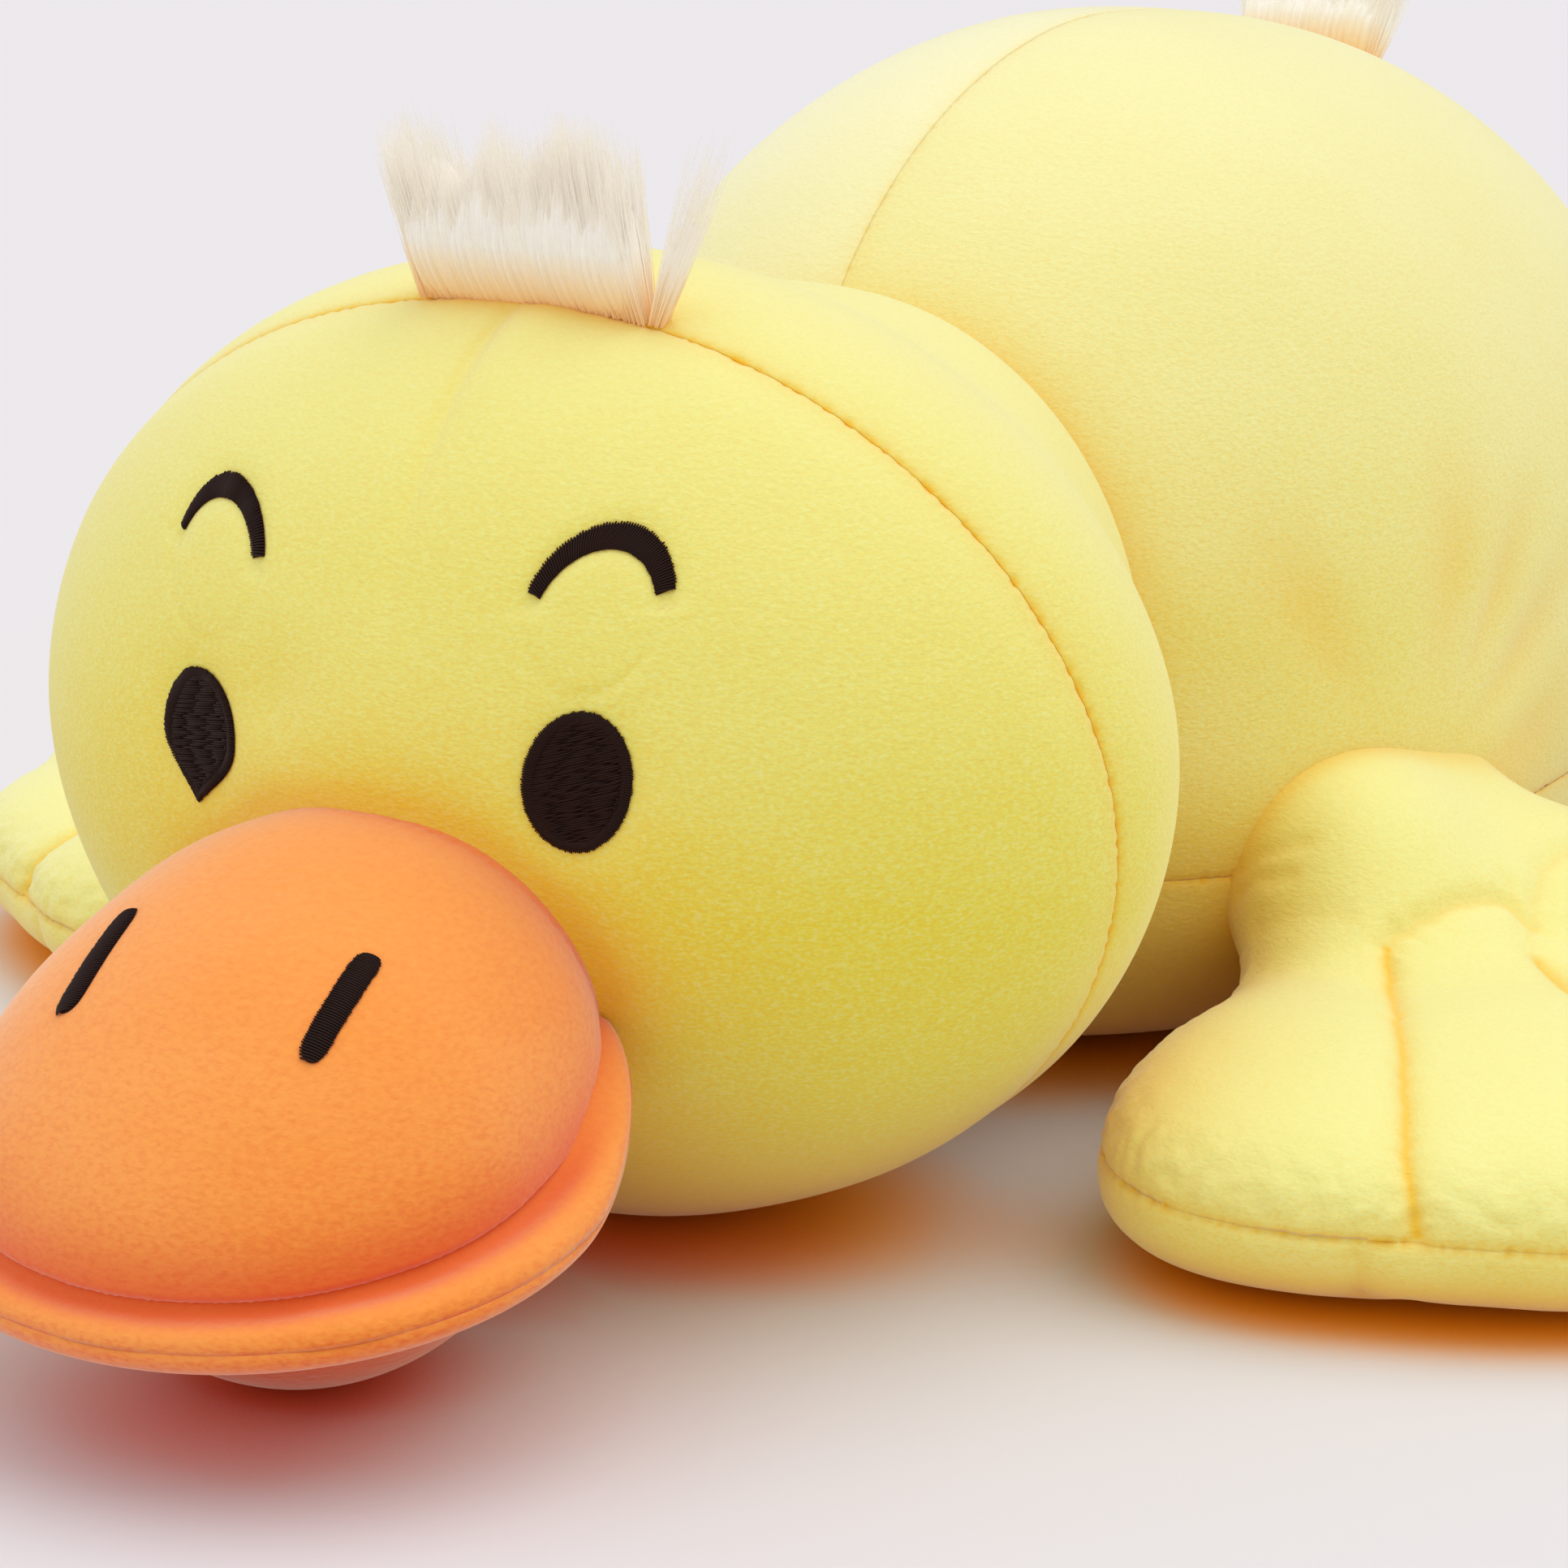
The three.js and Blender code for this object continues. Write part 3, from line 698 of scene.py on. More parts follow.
# where things are
body = {
    "middle": (0, 0, 81.0),
    "neckY": -91.3,
    "sideSeamHeight": 42.5,
    "form": {"side": 91, "front": 108, "back": 161, "upper": 99.5, "lower": 81.5, "lowFullness": 3.6},
    "radius": 88,  # a middling one, to turn depths into levels
    "lumps": (0.7, 46, 8),
    "midSeamShare": 0.45,  # the back's middle seam is flatter than the others
    "topCounts": (300, 130),  # rows and columns of the cloth
    "bellyCounts": (200, 150),
}
head = {
    "middle": (5.2, -160.5, 77.0),
    "turn": 7 * degree,
    "lean": 13 * degree,
    "ringY": -8.8,
    "form": {"side": 95, "front": 68, "back": 68, "upper": 78, "lower": 78},
}
headTurning = turning(head["turn"], head["lean"])
standTurning = turning(head["turn"])
headStand = (head["middle"][0], head["middle"][1], 0)
neckWay = standTurning @ np.array([0, 1.0, 0])  # square to the neck seam, towards the tail


def pastNeck(points):  # how far behind the neck seam's plane
    return (points - np.array([0, body["neckY"], 0])) @ neckWay


def bodyLevel(points):
    return eggLevel(body["form"], points - np.array(body["middle"]))


def headLevel(points):
    return eggLevel(head["form"], toLocal(points, headTurning, head["middle"]))


# bill forms, which the head needs for the seam round them
bill = {
    "ahead": 95,
    "mouthHeight": 37.5,
    "mouthSlope": math.tan(11.3 * degree),
    "dome": {"side": 46, "front": 41, "back": 59, "upper": 36.5, "lower": 8},
    "riseShare": 0.29,
    "lip": {"side": 53, "front": 45, "back": 52, "upper": 8, "lower": 9},
    "lipHeight": 33.5,
    "lipRise": 8.0,  # how much higher the lip runs where it meets the head
    "jawAhead": 84,
    "jawHeight": 35.7,
    "jaw": {"side": 38, "front": 32, "back": 44, "upper": 8, "lower": 34},
    "columns": 400,
    "rows": 120,
    "joinReach": 5.0,  # how softly jaw and lip join
    "topLumps": (0.45, 22, 5),
    "lipLumps": (0.35, 14, 6),
    "mouthSeam": {"depth": 2.6, "pull": 0.15, "shade": 0.7, "reach": 7},
    "baseSeam": {"depth": 0.3, "pull": 0.15, "shade": 0.2, "reach": 2},
    "lipGroove": {"depth": 2.0, "shade": 0.8, "reach": 3.0},  # where the lip passes under the dome
    "lipFullness": 2.6,
    "lipRows": 46,
    "lipDepth": 0.34,  # how much of the lip's breadth its upper cloth covers, from the rim inwards
    "underRows": 90,
    "rimShare": 0.05,  # the rim's seam hardly dips
}


def domeGrid(columns, rows):
    form = bill["dome"]
    a = np.linspace(0, 2 * np.pi, columns, endpoint=False)[None, :]
    t = (easedStart(rows, 0.6) * np.pi / 2)[:, None]
    x = form["side"] * np.cos(t) * np.cos(a)
    y = np.cos(t) * np.sin(a)
    y = y * np.where(y < 0, form["front"], form["back"])
    z = form["upper"] * np.sin(t) * (1 + bill["riseShare"] * y / form["front"])
    z = z + bill["mouthSlope"] * y
    grid = np.stack([x, y - bill["ahead"], z + bill["mouthHeight"]], axis=-1)
    return toDuck(grid, standTurning, headStand)


def crossings(grid, level):  # where the grid's lines pass through level 1
    found = []
    for first, second, a, b in (
        (grid[:-1], grid[1:], level[:-1], level[1:]),
        (grid, np.roll(grid, -1, axis=1), level, np.roll(level, -1, axis=1)),
    ):
        hit = (a - 1) * (b - 1) < 0
        share = ((1 - a[hit]) / (b[hit] - a[hit]))[:, None]
        found.append(first[hit] * (1 - share) + second[hit] * share)
    return np.vstack(found)


roughDome = domeGrid(240, 80)
billCrossing = crossings(roughDome, headLevel(roughDome))
localCrossing = toLocal(billCrossing, standTurning, headStand)
roundBill = np.arctan2(localCrossing[:, 2] - bill["mouthHeight"], localCrossing[:, 0])
billBase = seamLine(billCrossing[np.argsort(roundBill)], 1.0)
print("bill seam", round(billBase["length"]), "mm long")


# head
face = {
    "eye": {
        "aside": 33.0,
        "up": 24.5,
        "halfWidth": 7.9,
        "halfHeight": 9.8,
        "sink": 1.3,
        "raised": {1: 0.5, -1: -1.3},  # 1 is the left eye, -1 the right one, which is pulled to a point
        "narrowing": {1: 0.0, -1: 0.85},
        "slant": 0.22,
        "border": 1.5,
        "edge": 56,  # length of the edge that the border's stitches go round
    },
    "brow": {
        "aside": 32.6,
        "up": 46.4,
        "radius": 9.5,
        "width": 2.8,
        "halfAngle": 71 * degree,
        "sink": 0.7,
        "ring": 0.22,
        "thinning": {1: 0.12, -1: 0.6},  # how much thinner its end towards the duck's right is
    },
    "bridge": {"aside": -5, "up": 18, "swell": 2.0, "reach": 15},
    "dimple": {"aside": -17, "up": 32, "depth": 1.3, "reach": 8},  # the fold beside the right eye
    "dart": {"aside": 0.6, "slant": 0.02, "top": 77, "length": 36, "depth": 1.2, "reach": 1.6, "fade": 26},
    "billSeam": {
        "groove": 0.3,
        "grooveReach": 2.2,
        "sink": 1.0,
        "sinkReach": 7,
        "shade": 0.25,
        "shadeReach": 4,
    },
    "crown": {"aside": 6, "up": 77, "swell": 1.3},  # the cloth puckers up before the tuft
    "lumps": (0.5, 34, 3),  # height, size and seed
    "rows": 110,
}


def onHead(x, z):  # a point of the face from its place across and up, in the head's frame
    form = head["form"]
    y = -form["front"] * np.sqrt(np.maximum(1 - (x / form["side"]) ** 2 - (z / form["upper"]) ** 2, 0))
    return np.stack([x, y, z], axis=-1)


ringAngles = np.linspace(0, 2 * np.pi, 720, endpoint=False)
ringRadius = math.sqrt(1 - (head["ringY"] / head["form"]["front"]) ** 2)
ringPoints = np.stack(
    [
        head["form"]["side"] * ringRadius * np.cos(ringAngles),
        np.full_like(ringAngles, head["ringY"]),
        head["form"]["upper"] * ringRadius * np.sin(ringAngles),
    ],
    axis=-1,
)
ringSeam = seamLine(ringPoints, closed=True)
dart = face["dart"]
dartHeights = np.linspace(dart["top"], dart["top"] - dart["length"], 40)
dartAside = dart["aside"] + dart["slant"] * (dart["top"] - dartHeights)
dartSeam = seamLine(onHead(dartAside, np.minimum(dartHeights, dart["top"] - 0.1)))
billBaseLocal = seamLine(toLocal(billBase["points"], headTurning, head["middle"]))


def lumpy(points, settings):
    height, size, seed = settings
    return height * lumps(points, size, seed)


def headDip(points):  # how far the face's cloth lies below its plain egg, and how much painted shade it gets
    x, y, z = points[..., 0], points[..., 1], points[..., 2]
    eye, brow, dart = face["eye"], face["brow"], face["dart"]
    bridge, dimple, crown, billSeam = face["bridge"], face["dimple"], face["crown"], face["billSeam"]
    normalY = eggNormals(head["form"], points)[..., 1]
    distance = np.abs(y - head["ringY"]) / np.sqrt(np.maximum(1 - normalY ** 2, 0.05))
    along = nearSeam(ringSeam, points)[1]
    dip, shade = seamDip(distance, along), seamShade(distance, along)
    front = np.clip((-y - 5) / 12, 0, 1)
    distance = nearSeam(dartSeam, points)[0]
    fade = np.clip((z - (dart["top"] - dart["length"])) / dart["fade"], 0, 1)
    puckered = swell(distance / dart["reach"]) + 0.4 * swell((distance - 3) / 5)
    dip = dip + front * fade * dart["depth"] * puckered
    distance = nearSeam(billBaseLocal, points)[0]
    groove, sink = swell(distance / billSeam["grooveReach"]), swell(distance / billSeam["sinkReach"])
    dip = dip + front * (billSeam["groove"] * groove + billSeam["sink"] * sink)
    shade = shade + front * billSeam["shade"] * swell(distance / billSeam["shadeReach"])
    halfWidth, halfHeight = eye["halfWidth"] + 1, eye["halfHeight"] + 1
    for side in (-1, 1):
        reach = np.hypot((x - side * eye["aside"]) / halfWidth, (z - eye["up"]) / halfHeight)
        dip = dip + front * eye["sink"] * (1 / (1 + np.maximum(reach, 0) ** 6) + 0.7 * swell(reach / 2.2))
        outward, upward = x - side * brow["aside"], z - brow["up"]
        sewn = np.abs(np.arctan2(outward, upward)) < brow["halfAngle"] + 0.25
        radius = np.hypot(outward, upward)
        onArc = swell((radius - brow["radius"]) / (brow["width"] * 0.8)) * sewn
        dip = dip + front * brow["sink"] * onArc
        dip = dip + front * brow["ring"] * swell((radius - brow["radius"]) / 0.8) * ~sewn
    distance = np.hypot(x - bridge["aside"], z - bridge["up"])
    dip = dip - front * bridge["swell"] * swell(distance / bridge["reach"])
    distance = np.hypot(x - dimple["aside"], z - dimple["up"])
    dip = dip + front * dimple["depth"] * swell(distance / dimple["reach"])
    dip = dip - front * crown["swell"] * swell(np.hypot((x - crown["aside"]) / 5, (z - crown["up"]) / 9))
    return dip + lumpy(points, face["lumps"]), np.clip(shade, 0, 1)


def headSkin(points):
    dip, shade = headDip(points)
    return points - eggNormals(head["form"], points) * dip[..., None], shade


def headGrid(lastAngle, rows):  # from the ring seam on
    form = head["form"]
    start = math.asin(head["ringY"] / form["front"])
    theta = (start + easedStart(rows, 0.9) * (lastAngle - start))[:, None] + np.zeros_like(ringAngles)
    return np.stack(
        [
            form["side"] * np.cos(theta) * np.cos(ringAngles)[None, :],
            form["front"] * np.sin(theta),
            form["upper"] * np.cos(theta) * np.sin(ringAngles)[None, :],
        ],
        axis=-1,
    )


def onFloor(points, height=0.0):  # nothing sinks below what it lies on
    points[..., 2] = np.maximum(points[..., 2], height)
    return points


def padded(piece, bodyName, nodes):
    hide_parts(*nodes)
    if bodyName:
        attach(piece, bodyName)
    return piece


frontGrid = headGrid(-math.pi / 2, face["rows"])
frontSkin, shade = headSkin(frontGrid)
frontSkin = onFloor(toDuck(frontSkin, headTurning, head["middle"]))
headFront = panelShell("headFrontPanel", frontSkin, True, head["middle"], headPlush, shade)
padded(headFront, "head", ["head_front_panel"])


def lastHeld(holds, near, far, rounds=36):  # the value between near and far up to which the condition holds
    for _ in range(rounds):
        between = (near + far) / 2
        held = holds(between)
        near, far = np.where(held, between, near), np.where(held, far, between)
    return near


def neckRim(count):  # where the body meets the neck seam's plane, from its left side round over the top
    angles = np.linspace(0, 2 * np.pi, count, endpoint=False)
    way = np.stack([np.cos(angles), np.zeros(count), np.sin(angles)], axis=-1) @ standTurning.T
    start = np.array([0, body["neckY"], body["middle"][2]])

    def inside(reach):
        return bodyLevel(start + way * reach[:, None]) < 1

    return start + way * lastHeld(inside, np.zeros(count), np.full(count, 120.0), 40)[:, None]


neckPoints = neckRim(ringAngles.size)
neckSeam = seamLine(neckPoints, closed=True)
back = {
    "eggRows": 52,
    "drawnRows": 60,
    "lastAngle": math.asin(0.52),  # up to here the back is an egg, and from here it is drawn to the neck
    "tuck": 2.2,  # its edge passes under the body's edge, which the seam's dip draws back
    "seamDepth": 1.2,
    "bend": ((0, -0.0915, 0.09), (0.0047, -0.1297, 0.09)),  # metres: its still end and its moving end
}
eggRows = headGrid(back["lastAngle"], back["eggRows"])
pastLast = headGrid(back["lastAngle"] + 0.01, back["eggRows"])[-1]
leaving = unit(pastLast - eggRows[-1]) @ headTurning.T
eggRows = toDuck(eggRows, headTurning, head["middle"])
rim = neckPoints + neckWay * back["tuck"]
reach = lengthOf(rim - eggRows[-1])[:, None]
inward = unit(np.array([0, body["neckY"], body["middle"][2]]) - rim)
arriving = unit(neckWay * 0.75 + inward * 0.66)
t = np.linspace(0, 1, back["drawnRows"] + 1)[1:, None, None]
drawn = (
    (2 * t ** 3 - 3 * t ** 2 + 1) * eggRows[-1]
    + (t ** 3 - 2 * t ** 2 + t) * (leaving * reach)
    + (3 * t ** 2 - 2 * t ** 3) * rim
    + (t ** 3 - t ** 2) * (arriving * reach)
)
backGrid = np.concatenate([eggRows, drawn])
backNormals = gridNormals(backGrid, True, head["middle"])
localBack = toLocal(backGrid, headTurning, head["middle"])
distance = np.abs(localBack[..., 1] - head["ringY"]) / 0.99
along = nearSeam(ringSeam, localBack)[1]
dip, shade = seamDip(distance, along) + lumpy(localBack, face["lumps"]), seamShade(distance, along)
distance, along = nearSeam(neckSeam, backGrid)
dip, shade = dip + seamDip(distance, along, back["seamDepth"]), shade + seamShade(distance, along, 5.0)
backSkin = backGrid - backNormals * dip[..., None]
shade = np.clip(shade, 0, 1)
headBack = panelShell("headBackPanel", onFloor(backSkin), True, head["middle"], headPlush, shade)
padded(headBack, None, ["head_back_panel"])
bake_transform(headBack)
coarse = toDuck(frontGrid[::-6, ::8], headTurning, head["middle"])
wholeHead = capped(np.concatenate([coarse, backGrid[4::6, ::8]]))
headFill = joinedForm("headStuffing", [wholeHead], stuffing["voxel"])
stuffed(headFill, "head_stuffing", ("torso", "head"), back["bend"])
print("head made")


# bill
def insideHead(points, depth):  # what would reach into the head stops this deep under its cloth
    local = toLocal(points, headTurning, head["middle"])
    level = eggLevel(head["form"], local)[..., None]
    limit = 1 - depth / head["form"]["upper"]
    return toDuck(np.where(level < limit, local * (limit / level), local), headTurning, head["middle"])


mouthAngles = np.linspace(0, 2 * np.pi, 500, endpoint=False)
dome = bill["dome"]
mouthY = np.where(np.sin(mouthAngles) < 0, dome["front"], dome["back"]) * np.sin(mouthAngles)
mouthZ = bill["mouthHeight"] + bill["mouthSlope"] * mouthY
mouthLocal = np.stack([dome["side"] * np.cos(mouthAngles), mouthY - bill["ahead"], mouthZ], axis=-1)
mouthSeam = seamLine(toDuck(mouthLocal, standTurning, headStand), closed=True)
billMiddle = toDuck(np.array([0, -bill["ahead"], bill["mouthHeight"] + 8]), standTurning, headStand)

domeSkin = domeGrid(bill["columns"], bill["rows"])
normals = gridNormals(domeSkin, True, billMiddle)
mouthDistance, mouthAlong = nearSeam(mouthSeam, domeSkin)
baseDistance, baseAlong = nearSeam(billBase, domeSkin)
mouth, base = bill["mouthSeam"], bill["baseSeam"]
dip = seamDip(mouthDistance, mouthAlong, mouth["depth"], mouth["pull"])
dip = dip + seamDip(baseDistance, baseAlong, base["depth"], base["pull"])
dip = dip + lumpy(domeSkin, bill["topLumps"])
domeSkin = insideHead(domeSkin - normals * dip[..., None], 4.0)
shade = mouth["shade"] * swell(mouthDistance / mouth["reach"])
shade = shade + base["shade"] * swell(baseDistance / base["reach"])
billTop = panelShell("billTopPanel", domeSkin, True, billMiddle, billPlush, np.clip(shade, 0, 1))
padded(billTop, "head", ["bill_top_panel"])


def lipGrid(stations, upper):
    form, share = bill["lip"], stations[:, None]
    a = np.linspace(0, 2 * np.pi, bill["columns"], endpoint=False)[None, :]
    x = form["side"] * share * np.cos(a)
    y = share * np.sin(a)
    y = y * np.where(y < 0, form["front"], form["back"])
    reach = (1 - share ** bill["lipFullness"]) ** (1 / bill["lipFullness"])
    z = (form["upper"] if upper else -form["lower"]) * reach + bill["mouthSlope"] * y
    rear = np.clip((y - 2) / 36, 0, 1)
    z = z + bill["lipRise"] * rear ** 2 * (3 - 2 * rear)
    return np.stack([x, y - bill["ahead"], z + bill["lipHeight"]], axis=-1)


lipStations = 1 - easedStart(bill["lipRows"], 0.9) * bill["lipDepth"]
lipTop = toDuck(lipGrid(lipStations, True), standTurning, headStand)
lipMiddle = toDuck(np.array([0, -bill["ahead"], bill["lipHeight"] - 6]), standTurning, headStand)
normals = gridNormals(lipTop, True, lipMiddle)
rimSeam = seamLine(lipTop[0], closed=True)
rimDistance, rimAlong = nearSeam(rimSeam, lipTop)
mouthDistance, mouthAlong = nearSeam(mouthSeam, lipTop)
groove = bill["lipGroove"]
grooved = swell(mouthDistance / groove["reach"])
dip = bill["rimShare"] * seamDip(rimDistance, rimAlong) + groove["depth"] * grooved
dip = dip + lumpy(lipTop, bill["lipLumps"])
lipSkin = insideHead(lipTop - normals * dip[..., None], 1.0)
billLip = panelShell("billLipPanel", lipSkin, True, lipMiddle, billPlush, groove["shade"] * grooved)
padded(billLip, "head", ["bill_lip_panel"])

underLip = lipGrid(1 - easedStart(bill["underRows"], 0.8), False)
jawForm = bill["jaw"]
across, along = underLip[..., 0], underLip[..., 1] + bill["jawAhead"]
jawLength = np.where(along < 0, jawForm["front"], jawForm["back"])
spread = (across / jawForm["side"]) ** 2 + (along / jawLength) ** 2
jawDepth = jawForm["lower"] * np.sqrt(np.maximum(1 - spread, 0))
jawBottom = bill["jawHeight"] - jawDepth + bill["mouthSlope"] * along
jawBottom = np.where(spread < 1, jawBottom, 60)
join = bill["joinReach"]
gap = np.clip(0.5 + 0.5 * (jawBottom - underLip[..., 2]) / join, 0, 1)
underLip[..., 2] = jawBottom * (1 - gap) + underLip[..., 2] * gap - join * gap * (1 - gap)
underSkin = toDuck(underLip, standTurning, headStand)
normals = gridNormals(underSkin, True, billMiddle)
rimDistance, rimAlong = nearSeam(rimSeam, underSkin)
underSkin = underSkin - normals * (bill["rimShare"] * seamDip(rimDistance, rimAlong))[..., None]
underSkin = onFloor(insideHead(underSkin, 1.0), 0.2)
# painted shade: the under cloth is darker the lower it hangs
shade = np.clip((26 - underSkin[..., 2]) / 26, 0, 1) * 0.6
billUnder = panelShell("billUnderPanel", underSkin, True, billMiddle, billPlush, shade)
padded(billUnder, "head", ["bill_under_panel"])
billForms = [capped(domeSkin[::6, ::8]), capped(underSkin[::6, ::8])]
billFill = joinedForm("billStuffing", billForms, stuffing["voxel"])
stuffed(billFill, "bill_stuffing", ("head",), stop=lambda points: insideHead(points, -1.5))
print("bill made")


# embroidery: a low pad of dense thread with the top stitches over it
embroidery = {
    "radius": 0.19,
    "pitch": 0.33,
    "arch": 0.35,
    "padHeight": 0.55,
    "lift": 0.25,
    "seed": 4,
}


def onFace(x, z, lift):  # a point of the sewn face
    plain = onHead(x, z)
    skin = headSkin(plain)[0] + eggNormals(head["form"], plain) * lift[..., None]
    return toDuck(skin, headTurning, head["middle"])


def onBill(x, y, lift):  # a point of the bill's top
    form = bill["dome"]
    y = y + bill["ahead"]
    flat = (x / form["side"]) ** 2 + (y / np.where(y < 0, form["front"], form["back"])) ** 2
    z = form["upper"] * np.sqrt(np.maximum(1 - flat, 0.01)) * (1 + bill["riseShare"] * y / form["front"])
    z = z + bill["mouthSlope"] * y + bill["mouthHeight"]
    points = toDuck(np.stack([x, y - bill["ahead"], z], axis=-1), standTurning, headStand)
    upward = unit(points - billMiddle)
    return points + upward * (lift - lumpy(points, bill["topLumps"]))[..., None]


def strokePad(name, place, halfWidth, stations, height):  # place(along, across, lift) gives the points
    ring = np.linspace(0, 2 * np.pi, 24, endpoint=False)[None, :]
    along = stations[:, None] * np.ones_like(ring)
    across, high = halfWidth(stations)[:, None] * np.cos(ring), np.abs(np.sin(ring))
    lift = np.where(np.sin(ring) > 0, height * high ** 0.7, -1.6 * high) * np.ones_like(along)
    return closedGrid(name, place(along, across, lift), thread)


def stitches(name, place, chains):  # each chain is a list of (along, across)
    points, lifts, edges = [], [], []
    for chain in chains:
        chain = np.array(chain)
        lift = np.full(len(chain), embroidery["lift"])
        low, high = (place(chain[:, 0], chain[:, 1], lift + more) for more in (0.0, 1.0))
        edges += [(len(points) + k, len(points) + k + 1) for k in range(len(chain) - 1)]
        points += low.tolist()
        lifts += unit(high - low).tolist()
    piece = meshPiece(name, points, [], thread, edges=edges)
    attributeOf(piece.data, "lift", np.array(lifts).ravel(), "FLOAT_VECTOR", "vector")
    sizes = {"Radius": embroidery["radius"] * mm, "Arch": embroidery["arch"] * mm}
    return grown(piece, "thread", {**sizes, "Steps": 6, "Material": thread})


def embroidered(name, node, place, halfWidth, ends, chains):
    stations = ends[0] + easedSteps(40, 0.9) * (ends[1] - ends[0])
    pad = strokePad(name + "Pad", place, halfWidth, stations, embroidery["padHeight"] * 0.5)
    piece = merged(name, [pad, stitches(name + "Thread", place, chains)])
    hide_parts(node)
    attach(piece, "head")
    return piece


chance = np.random.default_rng(embroidery["seed"])


def eyeSewing(side):
    eye = face["eye"]
    border = eye["border"]

    def halfWidth(v):
        oval = np.sqrt(np.maximum(1 - (v / eye["halfHeight"]) ** 2, 0))
        narrowed = 1 - eye["narrowing"][side] * np.clip(-v / eye["halfHeight"], 0, 1) ** 2
        return eye["halfWidth"] * oval * narrowed

    def place(v, u, lift):
        return onFace(side * eye["aside"] + u, eye["up"] + eye["raised"][side] + v, lift)

    chains = []
    for v in np.arange(-eye["halfHeight"] + 1.2, eye["halfHeight"] - 1.2, embroidery["pitch"]):  # satin rows
        reach = float(halfWidth(np.array(v))) - border + 0.4
        if reach < 0.8:
            continue
        u = -reach
        length = chance.uniform(2.0, 5.0)
        while u < reach:
            end = min(u + length, reach)
            run = np.linspace(u, end, 3)
            rows = v + eye["slant"] * run + chance.uniform(-0.05, 0.05)
            rows = np.clip(rows, -eye["halfHeight"] + 1, eye["halfHeight"] - 1)
            chains.append(np.stack([rows, np.clip(run, -halfWidth(rows), halfWidth(rows))], axis=1))
            u, length = end + 0.12, chance.uniform(3.6, 5.2)
    count = int(eye["edge"] / embroidery["pitch"])
    for a in np.linspace(0, 2 * np.pi, count, endpoint=False):  # the border's stitches
        outer = eye["halfHeight"] * math.sin(a)
        outerU = float(halfWidth(np.array(outer))) * (1 if math.cos(a) >= 0 else -1)
        inner = (eye["halfHeight"] - border * 1.15) * math.sin(a + 0.03)
        innerU = outerU * (1 - border * 1.15 / eye["halfWidth"])
        grow = 1 + chance.uniform(0.0, 0.025)
        middle = ((outer + inner) / 2, (outerU + innerU) / 2)
        chains.append([(outer * grow, outerU * grow), middle, (inner, innerU)])
    return place, halfWidth, (-eye["halfHeight"], eye["halfHeight"]), chains


def browSewing(side):
    brow = face["brow"]
    half = brow["width"] / 2

    def halfWidth(a):
        thin = brow["thinning"][side] * np.clip(-a / brow["halfAngle"], 0, 1) ** 1.4
        return half * (1 - 0.12 * np.abs(a / brow["halfAngle"]) ** 3) * (1 - thin)

    def place(a, r, lift):
        radius = brow["radius"] + r
        return onFace(side * brow["aside"] + radius * np.sin(a), brow["up"] + radius * np.cos(a), lift)

    chains = []
    count = int(2 * brow["halfAngle"] * brow["radius"] / embroidery["pitch"])
    for a in np.linspace(-brow["halfAngle"], brow["halfAngle"], count):
        width = float(halfWidth(np.array(a)))
        top, bottom = width * chance.uniform(1.0, 1.16), -width * chance.uniform(1.0, 1.08)
        chains.append([(a - 0.03, bottom), (a, 0.0), (a + 0.03, top)])
    return place, halfWidth, (-brow["halfAngle"] - 0.02, brow["halfAngle"] + 0.02), chains


nostril = {"aside": 20.3, "ahead": 104.6, "halfLength": 7.9, "width": 3.7}


def nostrilSewing(side):
    half = nostril["width"] / 2

    def halfWidth(v):
        return half * np.sqrt(np.maximum(1 - np.abs(v / (nostril["halfLength"] + 0.2)) ** 8, 0))

    def place(v, u, lift):
        return onBill(side * nostril["aside"] + u, -nostril["ahead"] + v, lift)

    chains = []
    for v in np.arange(-nostril["halfLength"], nostril["halfLength"], embroidery["pitch"]):
        wide = half * (1 - 0.45 * np.abs(v / nostril["halfLength"]) ** 10)
        left, right = -wide * chance.uniform(1.0, 1.1), wide * chance.uniform(1.0, 1.1)
        chains.append([(v - 0.25, left), (v, 0.0), (v + 0.25, right)])
    return place, halfWidth, (-nostril["halfLength"] - 0.2, nostril["halfLength"] + 0.2), chains


for side, hand in ((1, "left"), (-1, "right")):
    embroidered(hand + "Eye", hand + "_eye", *eyeSewing(side))
    embroidered(hand + "Brow", hand + "_brow", *browSewing(side))
    embroidered(hand + "Nostril", hand + "_nostril", *nostrilSewing(side))
print("embroidery made")


# fur tufts
headTuft = {
    "from": -16.5,
    "to": 22.4,
    "depth": 4.6,
    "length": 24,
    "density": 14,  # strands in a square millimetre
    "radius": 0.075,
    "flare": 0.03,
    "lean": -2.2,
    "clump": 6.5,
    "seed": 3,
    "coreHeight": 0.86,  # the close under-fur reaches this share of the strands
    "sideLock": {
        "from": 22.4,
        "to": 24.8,
        "depth": 3.0,
        "length": 27,
        "lean": 11,
        "flare": 1.8,
        "clump": 5.0,
        "coreHeight": 0.62,
        "coreDepth": 1.3,
    },
}
tailTuft = {
    "halfWidth": 14,
    "behind": 79,
    "depth": 5.0,
    "length": 21,
    "density": 12,
    "radius": 0.085,
    "flare": 0.25,
    "lean": 0.0,
    "clump": 8.0,
    "seed": 8,
    "coreHeight": 0.85,
}


def rootStrip(name, grid):
    return meshPiece(name, grid.reshape(-1, 3), gridFaces(*grid.shape[:2], False), fur)


